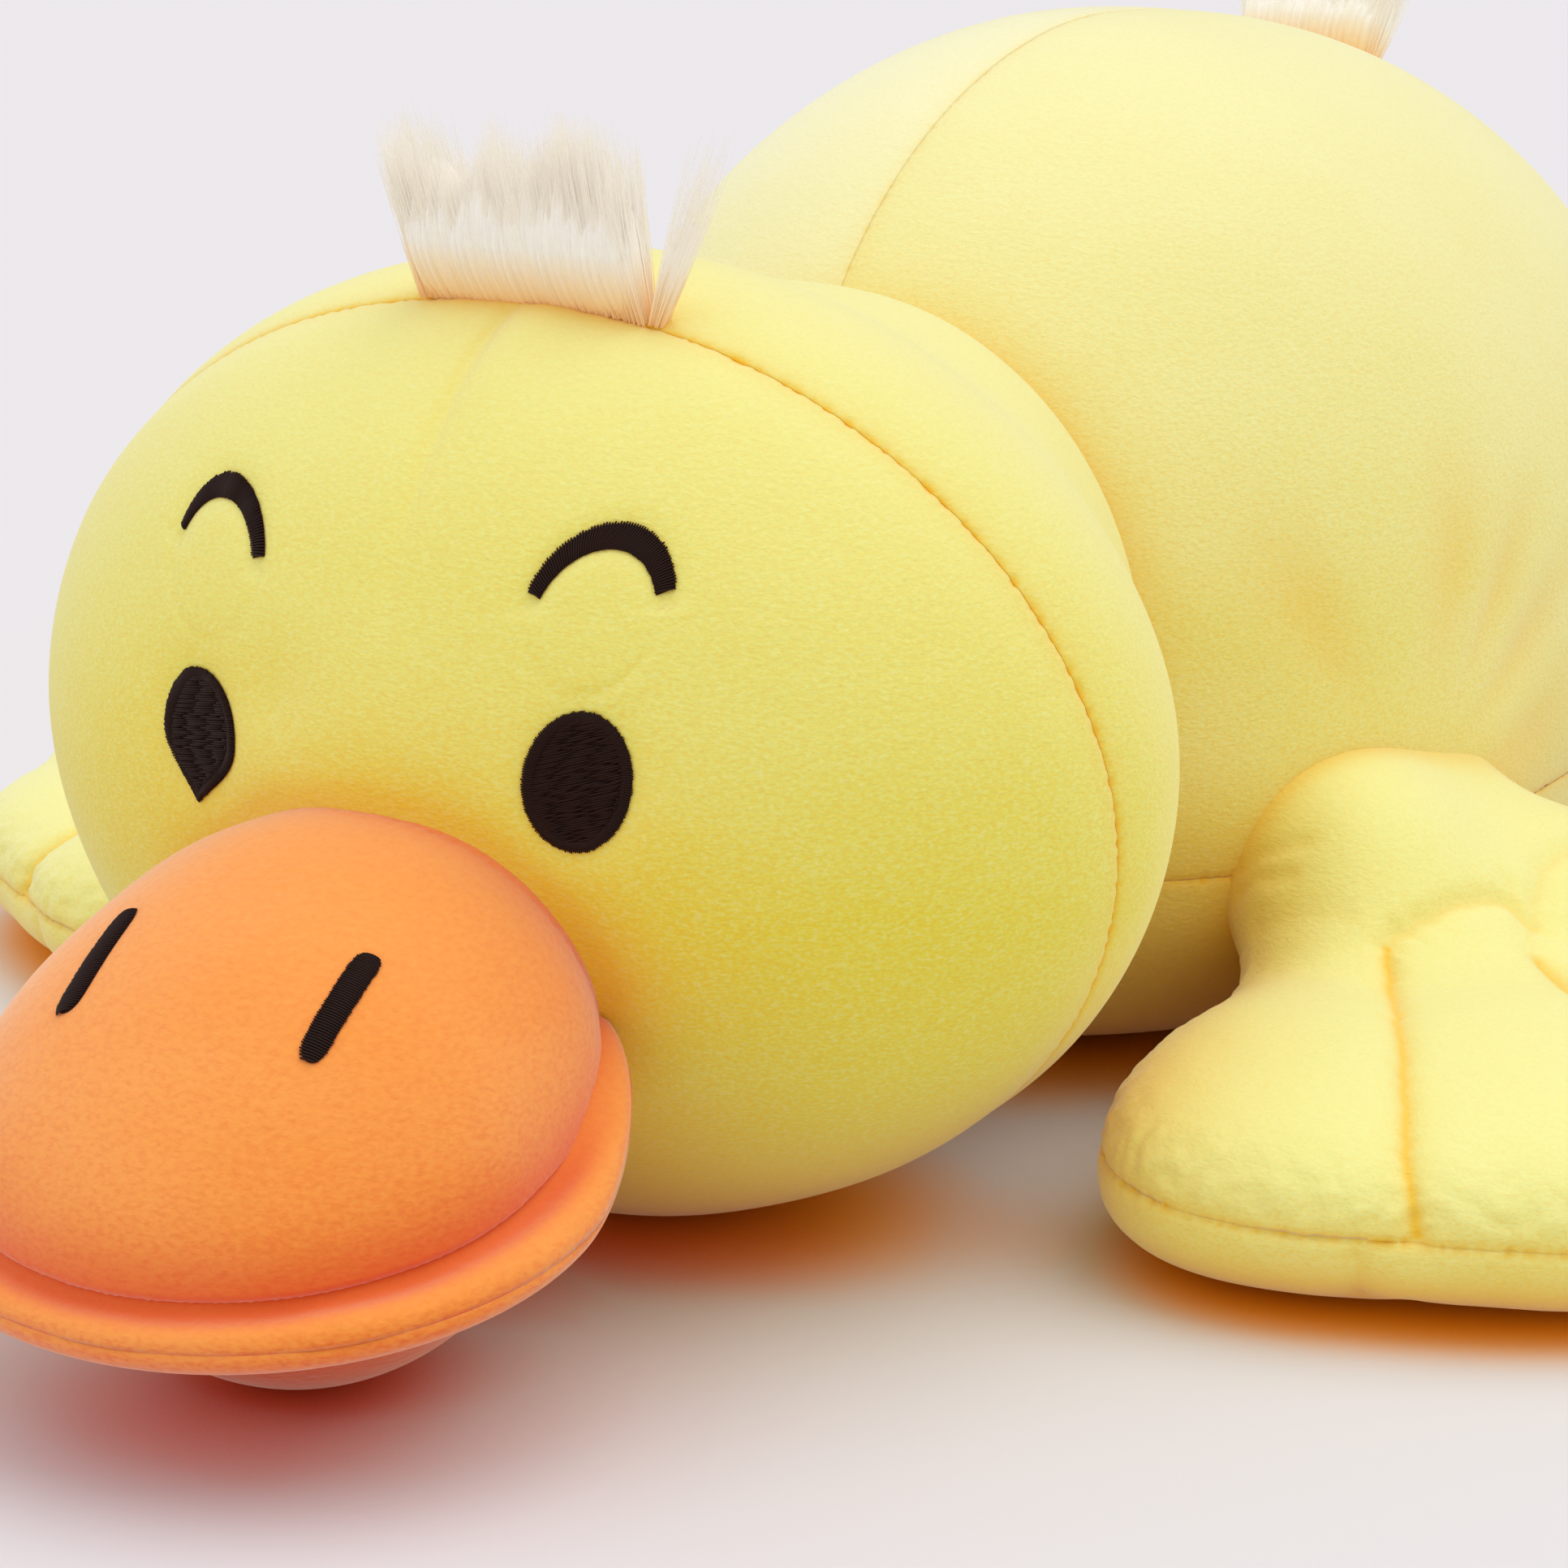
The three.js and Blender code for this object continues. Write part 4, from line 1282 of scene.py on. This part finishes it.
def underFur(name, axes, settings, middle, halfWidth):  # the close fur inside a tuft, with ridges
    across, ahead, up = (np.array(a) for a in axes)
    s = np.linspace(-1, 1, 220)[:, None]
    ring = np.linspace(0, 2 * np.pi, 36, endpoint=False)[None, :]
    rise = 0.5 - 0.5 * np.cos(ring)  # 0 at the root, 1 at the tip
    aside = s * halfWidth
    ragged = 0.07 * np.sin(aside * 0.9) + 0.05 * np.sin(aside * 2.3 + 1)
    ragged = ragged + 0.035 * np.sin(aside * 6.1 + 2 * np.sin(aside))
    tall = settings["length"] * settings["coreHeight"] * (1 + ragged) * (1 - 0.12 * s ** 8)
    ends = np.sqrt(np.maximum(1 - s ** 12, 0)) + 0.02
    bulge = 1 + 1.1 * np.sin(np.pi * np.minimum(rise * 0.85, 1))
    thick = 0.5 * settings["depth"] * bulge * (1 - rise ** 6) * ends
    ridges = 0.05 * np.sin(aside * 5.1 + 0.8 * np.sin(rise * 5))
    ridges = ridges + 0.04 * np.sin(aside * 9.3 + 2 + np.sin(rise * 7))
    thick = thick * (1 + ridges)
    height = tall * rise - 1.5
    shift = (aside * settings["flare"] + settings["lean"]) * height / settings["length"]
    grid = np.array(middle) + across * (aside + shift)[..., None] + up * height[..., None]
    grid = grid + ahead * (thick * np.sign(np.sin(ring)) * np.abs(np.sin(ring)) ** 0.5)[..., None]
    piece = closedGrid(name, grid, fur)
    heights = (meshPoints(piece) - np.array(middle)) @ up / settings["length"]
    attributeOf(piece.data, "share", np.clip(heights, 0, 1))
    return piece


def furOn(strip, axes, settings, middle):
    values = {name.capitalize(): settings[name] * mm for name in ("length", "lean", "clump", "radius")}
    values |= {name: tuple(axis) for name, axis in zip(("Across", "Ahead", "Up"), axes)}
    values |= {"Flare": settings["flare"], "Seed": settings["seed"], "Material": fur}
    values["Density"] = settings["density"] / (mm * mm) * 1
    values["Middle"] = tuple(np.array(middle) * mm)
    return grown(strip, "fur", values)


def tuftOf(name, node, bodyName, parts):
    tuft = merged(name, parts)
    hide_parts(node)
    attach(tuft, bodyName)


def crownStrip(name, start, end, depth):
    form = head["form"]
    behind = head["ringY"] + 1.5 + np.linspace(-depth / 2, depth / 2, 6)
    x, y = np.meshgrid(np.linspace(start, end, 20), behind)
    z = form["upper"] * np.sqrt(1 - (x / form["side"]) ** 2 - (y / form["front"]) ** 2) - 0.8
    local = np.stack([x, y, z], axis=-1)
    middle = toDuck(local.mean(axis=(0, 1)), headTurning, head["middle"])
    return rootStrip(name, toDuck(local, headTurning, head["middle"])), middle


headAxes = (headTurning[:, 0], -headTurning[:, 1], headTurning[:, 2])
strip, middle = crownStrip("headTuft", headTuft["from"], headTuft["to"], headTuft["depth"])
halfWidth = (headTuft["to"] - headTuft["from"]) / 2
block = [furOn(strip, headAxes, headTuft, middle)]
block.append(underFur("headUnderFur", headAxes, headTuft, middle, halfWidth))
lock = {**headTuft, **headTuft["sideLock"]}
strip, middle = crownStrip("sideLock", lock["from"], lock["to"], lock["depth"])
halfWidth = (lock["to"] - lock["from"]) / 2
flat = {**lock, "depth": lock["coreDepth"]}
block += [furOn(strip, headAxes, lock, middle), underFur("lockUnderFur", headAxes, flat, middle, halfWidth)]
tuftOf("headTuftFur", "head_tuft", "head", block)

form = body["form"]
x, y = np.meshgrid(
    np.linspace(-tailTuft["halfWidth"], tailTuft["halfWidth"], 16),
    tailTuft["behind"] + np.linspace(-tailTuft["depth"] / 2, tailTuft["depth"] / 2, 6),
)
z = form["upper"] * np.sqrt(1 - (x / form["side"]) ** 2 - (y / form["back"]) ** 2) + body["middle"][2] - 0.8
strip = rootStrip("tailTuftFur", np.stack([x, y, z], axis=-1))
rump = eggNormals(form, np.array([0, tailTuft["behind"], z.mean() - body["middle"][2]]))
ahead = np.array([0, -rump[2], rump[1]])
tailAxes, middle = (np.array([1.0, 0, 0]), ahead, rump), (0, tailTuft["behind"], z.mean())
core = underFur("tailUnderFur", tailAxes, tailTuft, middle, tailTuft["halfWidth"])
tuftOf("tailTuftFur", "tail_tuft", "torso", [furOn(strip, tailAxes, tailTuft, middle), core])
print("tufts made")


# body
def bodyPoint(theta, phi, left=1):  # theta runs from front to rear, phi from the left over the top
    form = body["form"]
    aside, high = np.cos(theta) * np.cos(phi), np.cos(theta) * np.sin(phi)
    y = np.sin(theta) * np.ones_like(phi)
    power = np.where(high < 0, form["lowFullness"], 2)
    size = (np.hypot(aside, y) ** power + np.abs(high) ** power) ** (1 / power)
    y = y / size * np.where(y < 0, form["front"], form["back"])
    z = high / size * np.where(high < 0, form["lower"], form["upper"])
    return np.stack([form["side"] * aside / size * left, y, z], axis=-1) + np.array(body["middle"])


def frontEnd(phi, left=1):  # theta where a line of the body starts at the neck seam
    def behind(theta):
        return pastNeck(bodyPoint(theta, phi, left)) > 0.15

    return lastHeld(behind, np.full_like(phi, 0.3), np.full_like(phi, -1.57))


def aboveSeam(theta, phi):
    return bodyPoint(theta, phi)[..., 2] - body["sideSeamHeight"]


def seamPhi(theta):  # phi of the side seam, or of the belly's middle where the seam has ended
    start = np.zeros_like(theta)
    return lastHeld(lambda p: aboveSeam(theta, p) > 0, start, start - math.pi / 2)


rearEnd = float(lastHeld(lambda t: aboveSeam(t, np.array(-math.pi / 2)) < 0, np.array(0.3), np.array(1.57)))


def topGrid(rows, columns, left):
    along, across = easedSteps(rows, 0.3)[:, None], easedSteps(columns, 0.7)[None, :]
    theta = np.zeros((rows, columns)) + along
    for _ in range(6):
        phi = math.pi / 2 + across * (seamPhi(theta) - math.pi / 2)
        start = frontEnd(phi, left)
        theta = start + along * (math.pi / 2 - start)
    return bodyPoint(theta, phi, left)


def bellyGrid(rows, columns):
    along, across = easedSteps(rows, 0.6)[:, None], easedSteps(columns, 0.6)[None, :]
    theta = np.zeros((rows, columns)) + along
    for _ in range(6):
        edge = seamPhi(theta)
        phi = edge + across * (-math.pi - 2 * edge)
        start = frontEnd(phi)
        theta = start + along * (rearEnd - start)
    return bodyPoint(theta, phi)


wrinkles = {
    "root": (84, -36, 50),  # they run outwards from the wing's root, and are strongest at reach
    "reach": 44,
    "length": 16,
    "places": [  # how far round the root, how wide, and how deep
        (0.25, 0.16, 0.9),
        (0.62, 0.12, 1.4),
        (0.98, 0.13, 1.3),
        (1.45, 0.18, 0.8),
        (-0.5, 0.15, 0.6),
        (2.2, 0.18, 0.6),
    ],
}


def bodySkin(points, seams):
    normals = eggNormals(body["form"], points - np.array(body["middle"]))
    dip, shade = lumpy(points, body["lumps"]), np.zeros(points.shape[:-1])
    for line in seams:
        distance, along = nearSeam(line, points)
        share = body["midSeamShare"] if line is midSeam else 1
        dip, shade = dip + share * seamDip(distance, along), shade + share * seamShade(distance, along)
    x, y, z = wrinkles["root"]
    for side in (-1, 1):
        fromRoot = points - np.array([side * x, y, z])
        angle = np.arctan2(fromRoot[..., 1], fromRoot[..., 2])
        near = swell((lengthOf(fromRoot) - wrinkles["reach"]) / wrinkles["length"])
        near = near * (points[..., 0] * side > 0)
        for place, width, depth in wrinkles["places"]:
            fold = near * swell((angle - place) / width)
            # each fold also gets painted shade
            dip, shade = dip + depth * fold, shade + 0.3 * fold
    return onFloor(points - normals * dip[..., None]), np.clip(shade, 0, 1)


run = np.linspace(float(frontEnd(np.array(math.pi / 2))), math.pi / 2, 300)
midSeam = seamLine(bodyPoint(run, np.full(300, math.pi / 2)))
run = np.linspace(rearEnd, math.pi / 2, 80)
bottomSeam = seamLine(bodyPoint(run, np.full(80, -math.pi / 2)))
run = np.linspace(-1.4, rearEnd, 400)
sideSeams = []
for left in (1, -1):
    line = bodyPoint(run, seamPhi(run), left)
    sideSeams.append(seamLine(line[pastNeck(line) > 0]))
for left, hand, material in ((1, "Left", bodyPlush), (-1, "Right", bodyPalePlush)):
    grid = topGrid(*body["topCounts"], left)
    skin, shade = bodySkin(grid, [midSeam, sideSeams[0 if left > 0 else 1], neckSeam, bottomSeam])
    panel = panelShell(f"body{hand}Panel", skin, False, body["middle"], material, shade)
    padded(panel, "torso", [f"body_{hand.lower()}_panel"])
skin, shade = bodySkin(bellyGrid(*body["bellyCounts"]), [*sideSeams, neckSeam])
bellyPanel = panelShell("bellyPanel", skin, False, body["middle"], bodyPlush, shade)
padded(bellyPanel, "torso", ["belly_panel"])
phi = np.linspace(0, 2 * np.pi, 96, endpoint=False)[None, :]
start = frontEnd(phi)
wholeBody = bodyPoint(start + easedSteps(60)[:, None] * (math.pi / 2 - start), phi)
stuffed(joinedForm("bodyStuffing", [capped(wholeBody)], stuffing["voxel"]), "body_stuffing", ("torso",))
print("body made")


# wings and feet
wing = {
    "name": "Wing",
    "palm": (103, -59),
    "turn": 46 * degree,
    "spread": 35 * degree,
    "reach": 96,
    "lobe": {"side": 34, "front": 52, "back": 58, "upper": 19, "lower": 17.5, "fullness": 2.4, "taper": 0.16},
    "web": {"side": 27, "front": 50, "back": 50, "upper": 17.5, "lower": 16.5, "fullness": 2.4},
    "ruffle": 0.55,
    "fillers": [  # place and half sizes
        ((92, -80, 17), (20, 26, 15)),
        ((103, -60, 19), (21, 21, 15)),
        ((122, -52, 18), (26, 30, 15)),
    ],
    "seamRise": 4,
    "arm": [  # place, half sizes, fullness, turn and droop
        ((88.7, -40.3, 32.7), (34.3, 45.7, 17.2), 2.4, 64 * degree, 43 * degree),
        ((84.3, -50.1, 42.6), (23, 26, 21), 2, 64 * degree, 43 * degree),
        ((106, -24, 31), (32, 32, 17), 2, 64 * degree, 20 * degree),
        ((94, -54, 33), (27, 28, 19), 2, 64 * degree, 30 * degree),
    ],
    "armMiddle": (92, -46, 40),
    "armReach": 44,
    "creases": [  # a line near the cloth, how deep, how wide, and whether it is sewn through to the sole
        ([(101, -71, 34), (113, -91, 36), (127, -116, 35), (138, -136, 28), (144, -144, 19)], 2.2, 1.6, True),
        ([(122, -56, 36), (131, -66, 36), (156, -84, 34), (180, -100, 22)], 2.2, 1.6, True),
        ([(108, -44, 40), (114, -47, 38), (122, -56, 36)], 1.4, 3.0, False),
        ([(79, -72, 37), (87, -71, 39), (94, -69, 38), (101, -71, 34)], 0.6, 3.0, False),
        (
            [(101, -71, 34), (100, -66, 33), (102, -60, 37), (105, -54, 39), (108, -47, 37), (114, -47, 34)],
            2.4, 2.4, False,
        ),
        ([(114, -46, 34), (112, -39, 40), (111, -32, 43), (112, -20, 45), (114, -8, 44)], 1.8, 2.6, False),
        ([(70.2, -67.9, 44), (75.2, -68.3, 48.3), (83, -68.7, 52)], 0.8, 1.6, False),
        ([(71, -69.1, 40.8), (75, -69, 43.7), (82, -70.3, 46)], 0.8, 1.6, False),
        ([(136, -146, 15), (134, -141, 5)], 1.0, 1.5, False),
    ],
    "voxel": 2.2,
    "inset": 7.0,
    "smoothing": (22, 60),  # rounds over all of it, and more rounds on the arm
    "blend": ((0.078, -0.036, 0.05), (0.106, -0.052, 0.036)),
    "slot": "yellow_plush",
    "panels": ("top_panel", "under_panel"),
}
foot = {
    "name": "Foot",
    "palm": (66, 106),
    "turn": 140 * degree,
    "spread": 30 * degree,
    "reach": 64,
    "lobe": {"side": 22, "front": 34, "back": 40, "upper": 11, "lower": 12.5, "fullness": 2.4, "taper": 0.14},
    "web": {"side": 17, "front": 32, "back": 36, "upper": 10, "lower": 11.5, "fullness": 2.4},
    "ruffle": 0.18,
    "fillers": [((68, 108, 13), (15, 15, 10))],
    "seamRise": 2,
    "arm": [((64, 104, 22), (22, 26, 12.5), 2, 134 * degree, 15 * degree)],
    "armMiddle": (64, 104, 24),
    "armReach": 24,
    "creases": [
        ([(81, 116, 24), (115, 140, 22)], 2.0, 2.2, True),
        ([(74, 122, 24), (91, 160, 22)], 2.0, 2.2, True),
    ],
    "voxel": 1.8,
    "inset": 4.5,
    "smoothing": (10, 15),
    "blend": ((0.058, 0.098, 0.028), (0.076, 0.115, 0.022)),
    "slot": "orange_plush",
    "panels": ("top_panel", "sole_panel"),
}


def ballForm(width, length, height, fullness=2):
    form = {"front": length, "back": length, "upper": height, "lower": height}
    return {**form, "side": width, "fullness": fullness}


def limbForms(side, limb):
    for step in (-1, -0.5, 0, 0.5, 1):
        form, reach = limb["lobe"], limb["reach"]
        if step not in (-1, 0, 1):  # a web, between two lobes
            form, reach = limb["web"], limb["reach"] - 1.5
        rotation = turning(side * (limb["turn"] + step * limb["spread"]))
        grid = eggPoints(form, 64, 48, 0.8) + np.array([0, form["front"] - reach, 0])
        yield toDuck(grid, rotation, (side * limb["palm"][0], limb["palm"][1], limb["lobe"]["lower"] - 0.5))
    for (x, y, z), size in limb["fillers"]:
        yield eggPoints(ballForm(*size), 48, 32) + np.array([side * x, y, z])
    for (x, y, z), size, fullness, turn, droop in limb["arm"]:
        grid = eggPoints(ballForm(*size, fullness), 64, 48)
        yield toDuck(grid, turning(side * turn, droop), (side * x, y, z))


def onCloth(points, line):  # a line moved onto the nearest cloth
    tree = treeOf(points)
    return seamLine([tuple(tree.find(p)[0]) for p in seamLine(line, 2.0)["points"]], 0.8)


def cutAtBody(piece, depth=2.2):  # the root ends just under the body's cloth
    points = meshPoints(piece)
    local = points - np.array(body["middle"])
    limit = 1 - depth / body["radius"]
    level = bodyLevel(points)
    inside = level < limit
    moved = local * (limit / np.maximum(level, 1e-6))[:, None] + np.array(body["middle"])
    setPoints(piece, np.where(inside[:, None], moved, points))

    def change(work):
        hidden = [f for f in work.faces if all(inside[v.index] for v in f.verts)]
        bmesh.ops.delete(work, geom=hidden, context="FACES")

    edited(piece.data, change)


def refined(piece, lines, reach=2.2):  # a finer mesh along the sewn channels
    points = meshPoints(piece)
    near = np.min([nearSeam(onCloth(points, line), points)[0] for line in lines], axis=0) < reach

    def change(work):
        edges = [e for e in work.edges if near[e.verts[0].index] and near[e.verts[1].index]]
        bmesh.ops.subdivide_edges(work, edges=edges, cuts=1, use_grid_fill=True)
        bmesh.ops.triangulate(work, faces=[f for f in work.faces if len(f.verts) > 4])

    edited(piece.data, change)


def outsideBody(points, limit=1.02):
    local = points - np.array(body["middle"])
    level = bodyLevel(points)[:, None]
    return np.where(level < limit, local * (limit / level), local) + np.array(body["middle"])


folds = {
    "soleShare": 0.4,  # how deep a sewn channel is on the underside
    "sharp": 0.6,  # the narrow part of its depth, and the wide part that is softly pulled in
    "soft": 0.4,
    "softReach": 3.5,  # in widths
    "fullDepth": 2.2,  # a channel this deep gets the darkest painted shade
    "foldShade": 0.16,
    "line": (0.8, 0.9),  # painted shade: how dark and how wide, in the channel and then round it
    "glow": (0.14, 4),
}


def creased(points, side, limb):  # how deep the channels and folds are, and how much painted shade lies in them
    cut, dark = np.zeros(len(points)), np.zeros(len(points))
    for line, depth, width, sewnThrough in limb["creases"]:
        for sole in (False, True) if sewnThrough else (False,):
            sewn = onCloth(points, [(side * x, y, -20 if sole else z) for x, y, z in line])
            distance = nearSeam(sewn, points)[0]
            deep = depth * (folds["soleShare"] if sole else 1)
            channel = folds["sharp"] * swell(distance / width)
            channel = channel + folds["soft"] * swell(distance / (folds["softReach"] * width))
            cut = np.maximum(cut, deep * channel)
            strong = min(deep / folds["fullDepth"], 1) if sewnThrough else folds["foldShade"] * deep
            shades = [share * swell(distance / reach) for share, reach in (folds["line"], folds["glow"])]
            dark = np.maximum(dark, strong * (shades[0] + shades[1]))
    return cut, dark


def halfOf(piece, name, middle, upward, material):  # the cloth on one side of the rim seam
    def change(work):
        work.from_mesh(piece.data)
        bmesh.ops.bisect_plane(
            work,
            geom=work.verts[:] + work.edges[:] + work.faces[:],
            plane_co=Vector(middle * mm),
            plane_no=Vector(upward),
            clear_inner=True,
        )

    panel = intoScene(name + "Panel", bpy.data.meshes.new(name))
    edited(panel.data, change)
    panel.data.materials.append(material)
    wall = panel.modifiers.new("wall", "SOLIDIFY")
    wall.thickness = cloth["thickness"] * mm
    wall.offset = -1
    before = len(panel.data.polygons)
    evaluated(panel)
    return flatEnds(panel, len(panel.data.polygons) - 2 * before)


def makeLimb(side, limb, material):
    hand = "left" if side > 0 else "right"
    name = hand + limb["name"]
    piece = joinedForm(name, limbForms(side, limb), limb["voxel"])
    points = relaxed(meshPoints(piece), edgesOf(piece), limb["smoothing"][0])
    x, y, z = limb["armMiddle"]
    onArm = np.clip((limb["armReach"] - lengthOf(points - np.array([side * x, y, z]))) / 16, 0, 1)
    setPoints(piece, relaxed(points, edgesOf(piece), limb["smoothing"][1], 0.5 * onArm[:, None]))
    inner = intoScene(name + "Stuffing", piece.data.copy())
    cutAtBody(piece)
    finer = piece.modifiers.new("finer", "SUBSURF")
    finer.levels = finer.render_levels = 1
    evaluated(piece)
    channels = [line for line, _, _, sewnThrough in limb["creases"] if sewnThrough]
    refined(piece, [[(side * x, y, z) for x, y, z in line] for line in channels])
    points, normals = meshPoints(piece), meshNormals(piece)
    cut, shade = creased(points, side, limb)
    dip = lumpy(points, (0.5, 26, 11 + side)) + cut
    x, y = side * limb["palm"][0], limb["palm"][1]
    rim = limb["lobe"]["lower"] - 0.5
    tip = toDuck(np.array([0, -limb["reach"], 0.0]), turning(side * limb["turn"]), (x, y, rim))
    across = turning(side * limb["turn"], math.atan2(limb["seamRise"], limb["reach"])) @ np.array([0, 0, 1.0])
    level = (points - tip) @ across
    distance = np.abs(level) / np.sqrt(np.maximum(1 - (normals @ across) ** 2, 0.08))
    around = np.arctan2(points[:, 0] - x, points[:, 1] - y) * limb["reach"]
    dip, shade = dip + seamDip(distance, around, 1.0), shade + seamShade(distance, around)
    brushedUp = swell((level - 5) / 5.5)  # the pile just above the seam
    dip = dip - lumpy(points, (limb["ruffle"], 2.4, 21)) * brushedUp
    # painted shade where the limb meets the body
    shade = shade + 0.5 * swell((bodyLevel(points) - 1) * body["radius"] / 3.3)
    setPoints(piece, onFloor(points - normals * dip[:, None], 0.1))
    attributeOf(piece.data, "crease", np.clip(shade, 0, 1))
    bend = [(side * x, y, z) for x, y, z in limb["blend"]]
    bodyName = f"{hand}_{limb['name'].lower()}"
    stuffed(inner, bodyName + "_stuffing", ("torso", bodyName), bend, outsideBody, limb["inset"])
    for half, nodeEnd, sign in (("Top", limb["panels"][0], 1), ("Under", limb["panels"][1], -1)):
        panel = halfOf(piece, name + half, tip, across * sign, material)
        padded(panel, None, [f"{bodyName}_{nodeEnd}"])
        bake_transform(panel)
    bpy.data.objects.remove(piece)


for side in (1, -1):
    makeLimb(side, wing, wingPlush)
    makeLimb(side, foot, footPlush)
print("wings and feet made")


# room, light and camera
room = {
    "floor": (0.76, 0.735, 0.76),
    "floorSize": 30.0,
    "yellowShade": (1.0, 0.42, 0.01),  # painted shadow colour close under the duck, standing in for the light off its cloth
    "orangeShade": (0.85, 0.13, 0.03),
    "orangeReach": (0.055, 0.1),  # metres from the bill over which the painted orange shadow ends
    "shadeReach": 0.027,
    "shadeCore": 0.15,
    "shadeWidth": 0.54,  # narrow before the bill, and wider by shadeGrows under head and wings
    "shadeGrows": 0.18,
    "backdrop": (0.84, 0.815, 0.84),
}
lights = {
    "sky": {"low": 0.47, "high": 0.88},  # brighter overhead than at the sides
    "sun": {"strength": 0.98, "angle": 60 * degree, "from": (0.35, 0.3, 1.0)},
    "front": {"strength": 0.42, "angle": 80 * degree, "from": (-0.5, -1.0, 0.9)},
}
camera = {
    "place": (390.54, -666.48, 243.09),
    "right": (0.82007, 0.57204, 0.01594),
    "up": (-0.16381, 0.20796, 0.96432),
    "back": (0.54831, -0.79343, 0.26425),
    "lens": 94.88,
    "sensor": 36,
}

size = room["floorSize"] / 2
floorMesh = bpy.data.meshes.new("floor")
corners = [(-size, -size, 0), (size, -size, 0), (size, size, 0), (-size, size, 0)]
floorMesh.from_pydata(corners, [], [(0, 1, 2, 3)])
floor = intoScene("floor", floorMesh)
floorWithPaintedShadow, tree, shader = newMaterial("floorWithPaintedShadow")
billSpot = tuple(toDuck(np.array([0, -85.0, 0]), standTurning, headStand) * mm)
where = addNode(tree, "ShaderNodeTexCoord").outputs["Object"]
fromBill = addNode(tree, "ShaderNodeVectorMath", {"operation": "DISTANCE"}, i0=where, i1=billSpot)
awayFromBill = ranged(tree, fromBill.outputs["Value"], *room["orangeReach"])
underDuck = mixed(tree, awayFromBill, room["orangeShade"], room["yellowShade"])
# painted shadow: the floor takes the shade colours where the duck is close, by ambient occlusion
closeness = addNode(tree, "ShaderNodeAmbientOcclusion", {"samples": 8}, distance=room["shadeReach"])
shadeWidth = addNode(
    tree,
    "ShaderNodeMath",
    {"operation": "MULTIPLY_ADD"},
    i0=awayFromBill,
    i1=room["shadeGrows"],
    i2=room["shadeWidth"],
).outputs[0]
bare = addNode(
    tree,
    "ShaderNodeMapRange",
    {"interpolation_type": "SMOOTHSTEP"},
    value=closeness.outputs["AO"],
    fromMin=room["shadeCore"],
    fromMax=shadeWidth,
).outputs[0]
painted = mixed(tree, bare, underDuck, room["floor"])
setInputs(tree, shader, baseColor=painted, roughness=0.9, specularIorLevel=0.1)
floorMesh.materials.append(floorWithPaintedShadow)

world = bpy.data.worlds.new("studio")
bpy.context.scene.world = world
world.use_nodes = True
tree = world.node_tree
direction = addNode(tree, "ShaderNodeTexCoord").outputs["Generated"]
upward = addNode(tree, "ShaderNodeSeparateXYZ", i0=direction).outputs["Z"]
low, high = lights["sky"]["low"], lights["sky"]["high"]
strength = addNode(tree, "ShaderNodeMapRange", value=upward, toMin=low, toMax=high).outputs[0]
sky = tree.nodes["Background"]
setInputs(tree, sky, color=(1, 1, 1, 1), strength=strength)
backdrop = addNode(tree, "ShaderNodeBackground", color=(*room["backdrop"], 1)).outputs[0]
rays = addNode(tree, "ShaderNodeLightPath").outputs
seen = rays["Is Camera Ray"]  # the backdrop is what is seen past the floor's end
for kind in ("Is Glossy Ray", "Is Transmission Ray"):
    seen = addNode(tree, "ShaderNodeMath", {"operation": "MAXIMUM"}, i0=seen, i1=rays[kind]).outputs[0]
either = addNode(tree, "ShaderNodeMixShader", i0=seen, i1=sky.outputs[0], i2=backdrop).outputs[0]
setInputs(tree, tree.nodes["World Output"], surface=either)
for name in ("sun", "front"):
    lamp = bpy.data.lights.new(name, "SUN")
    lamp.energy = lights[name]["strength"]
    lamp.angle = lights[name]["angle"]
    intoScene(name, lamp).rotation_euler = Vector(lights[name]["from"]).to_track_quat("Z", "Y").to_euler()

lensData = bpy.data.cameras.new("camera")
lensData.lens = camera["lens"]
lensData.sensor_width = camera["sensor"]
lensData.clip_end = 60
cameraHolder = intoScene("camera", lensData)
axes = Matrix((camera["right"], camera["up"], camera["back"])).transposed()
cameraHolder.matrix_world = Matrix.Translation(Vector(camera["place"]) * mm) @ axes.to_4x4()
bpy.context.scene.camera = cameraHolder
bpy.context.scene.view_settings.view_transform = "Standard"
print("room made")
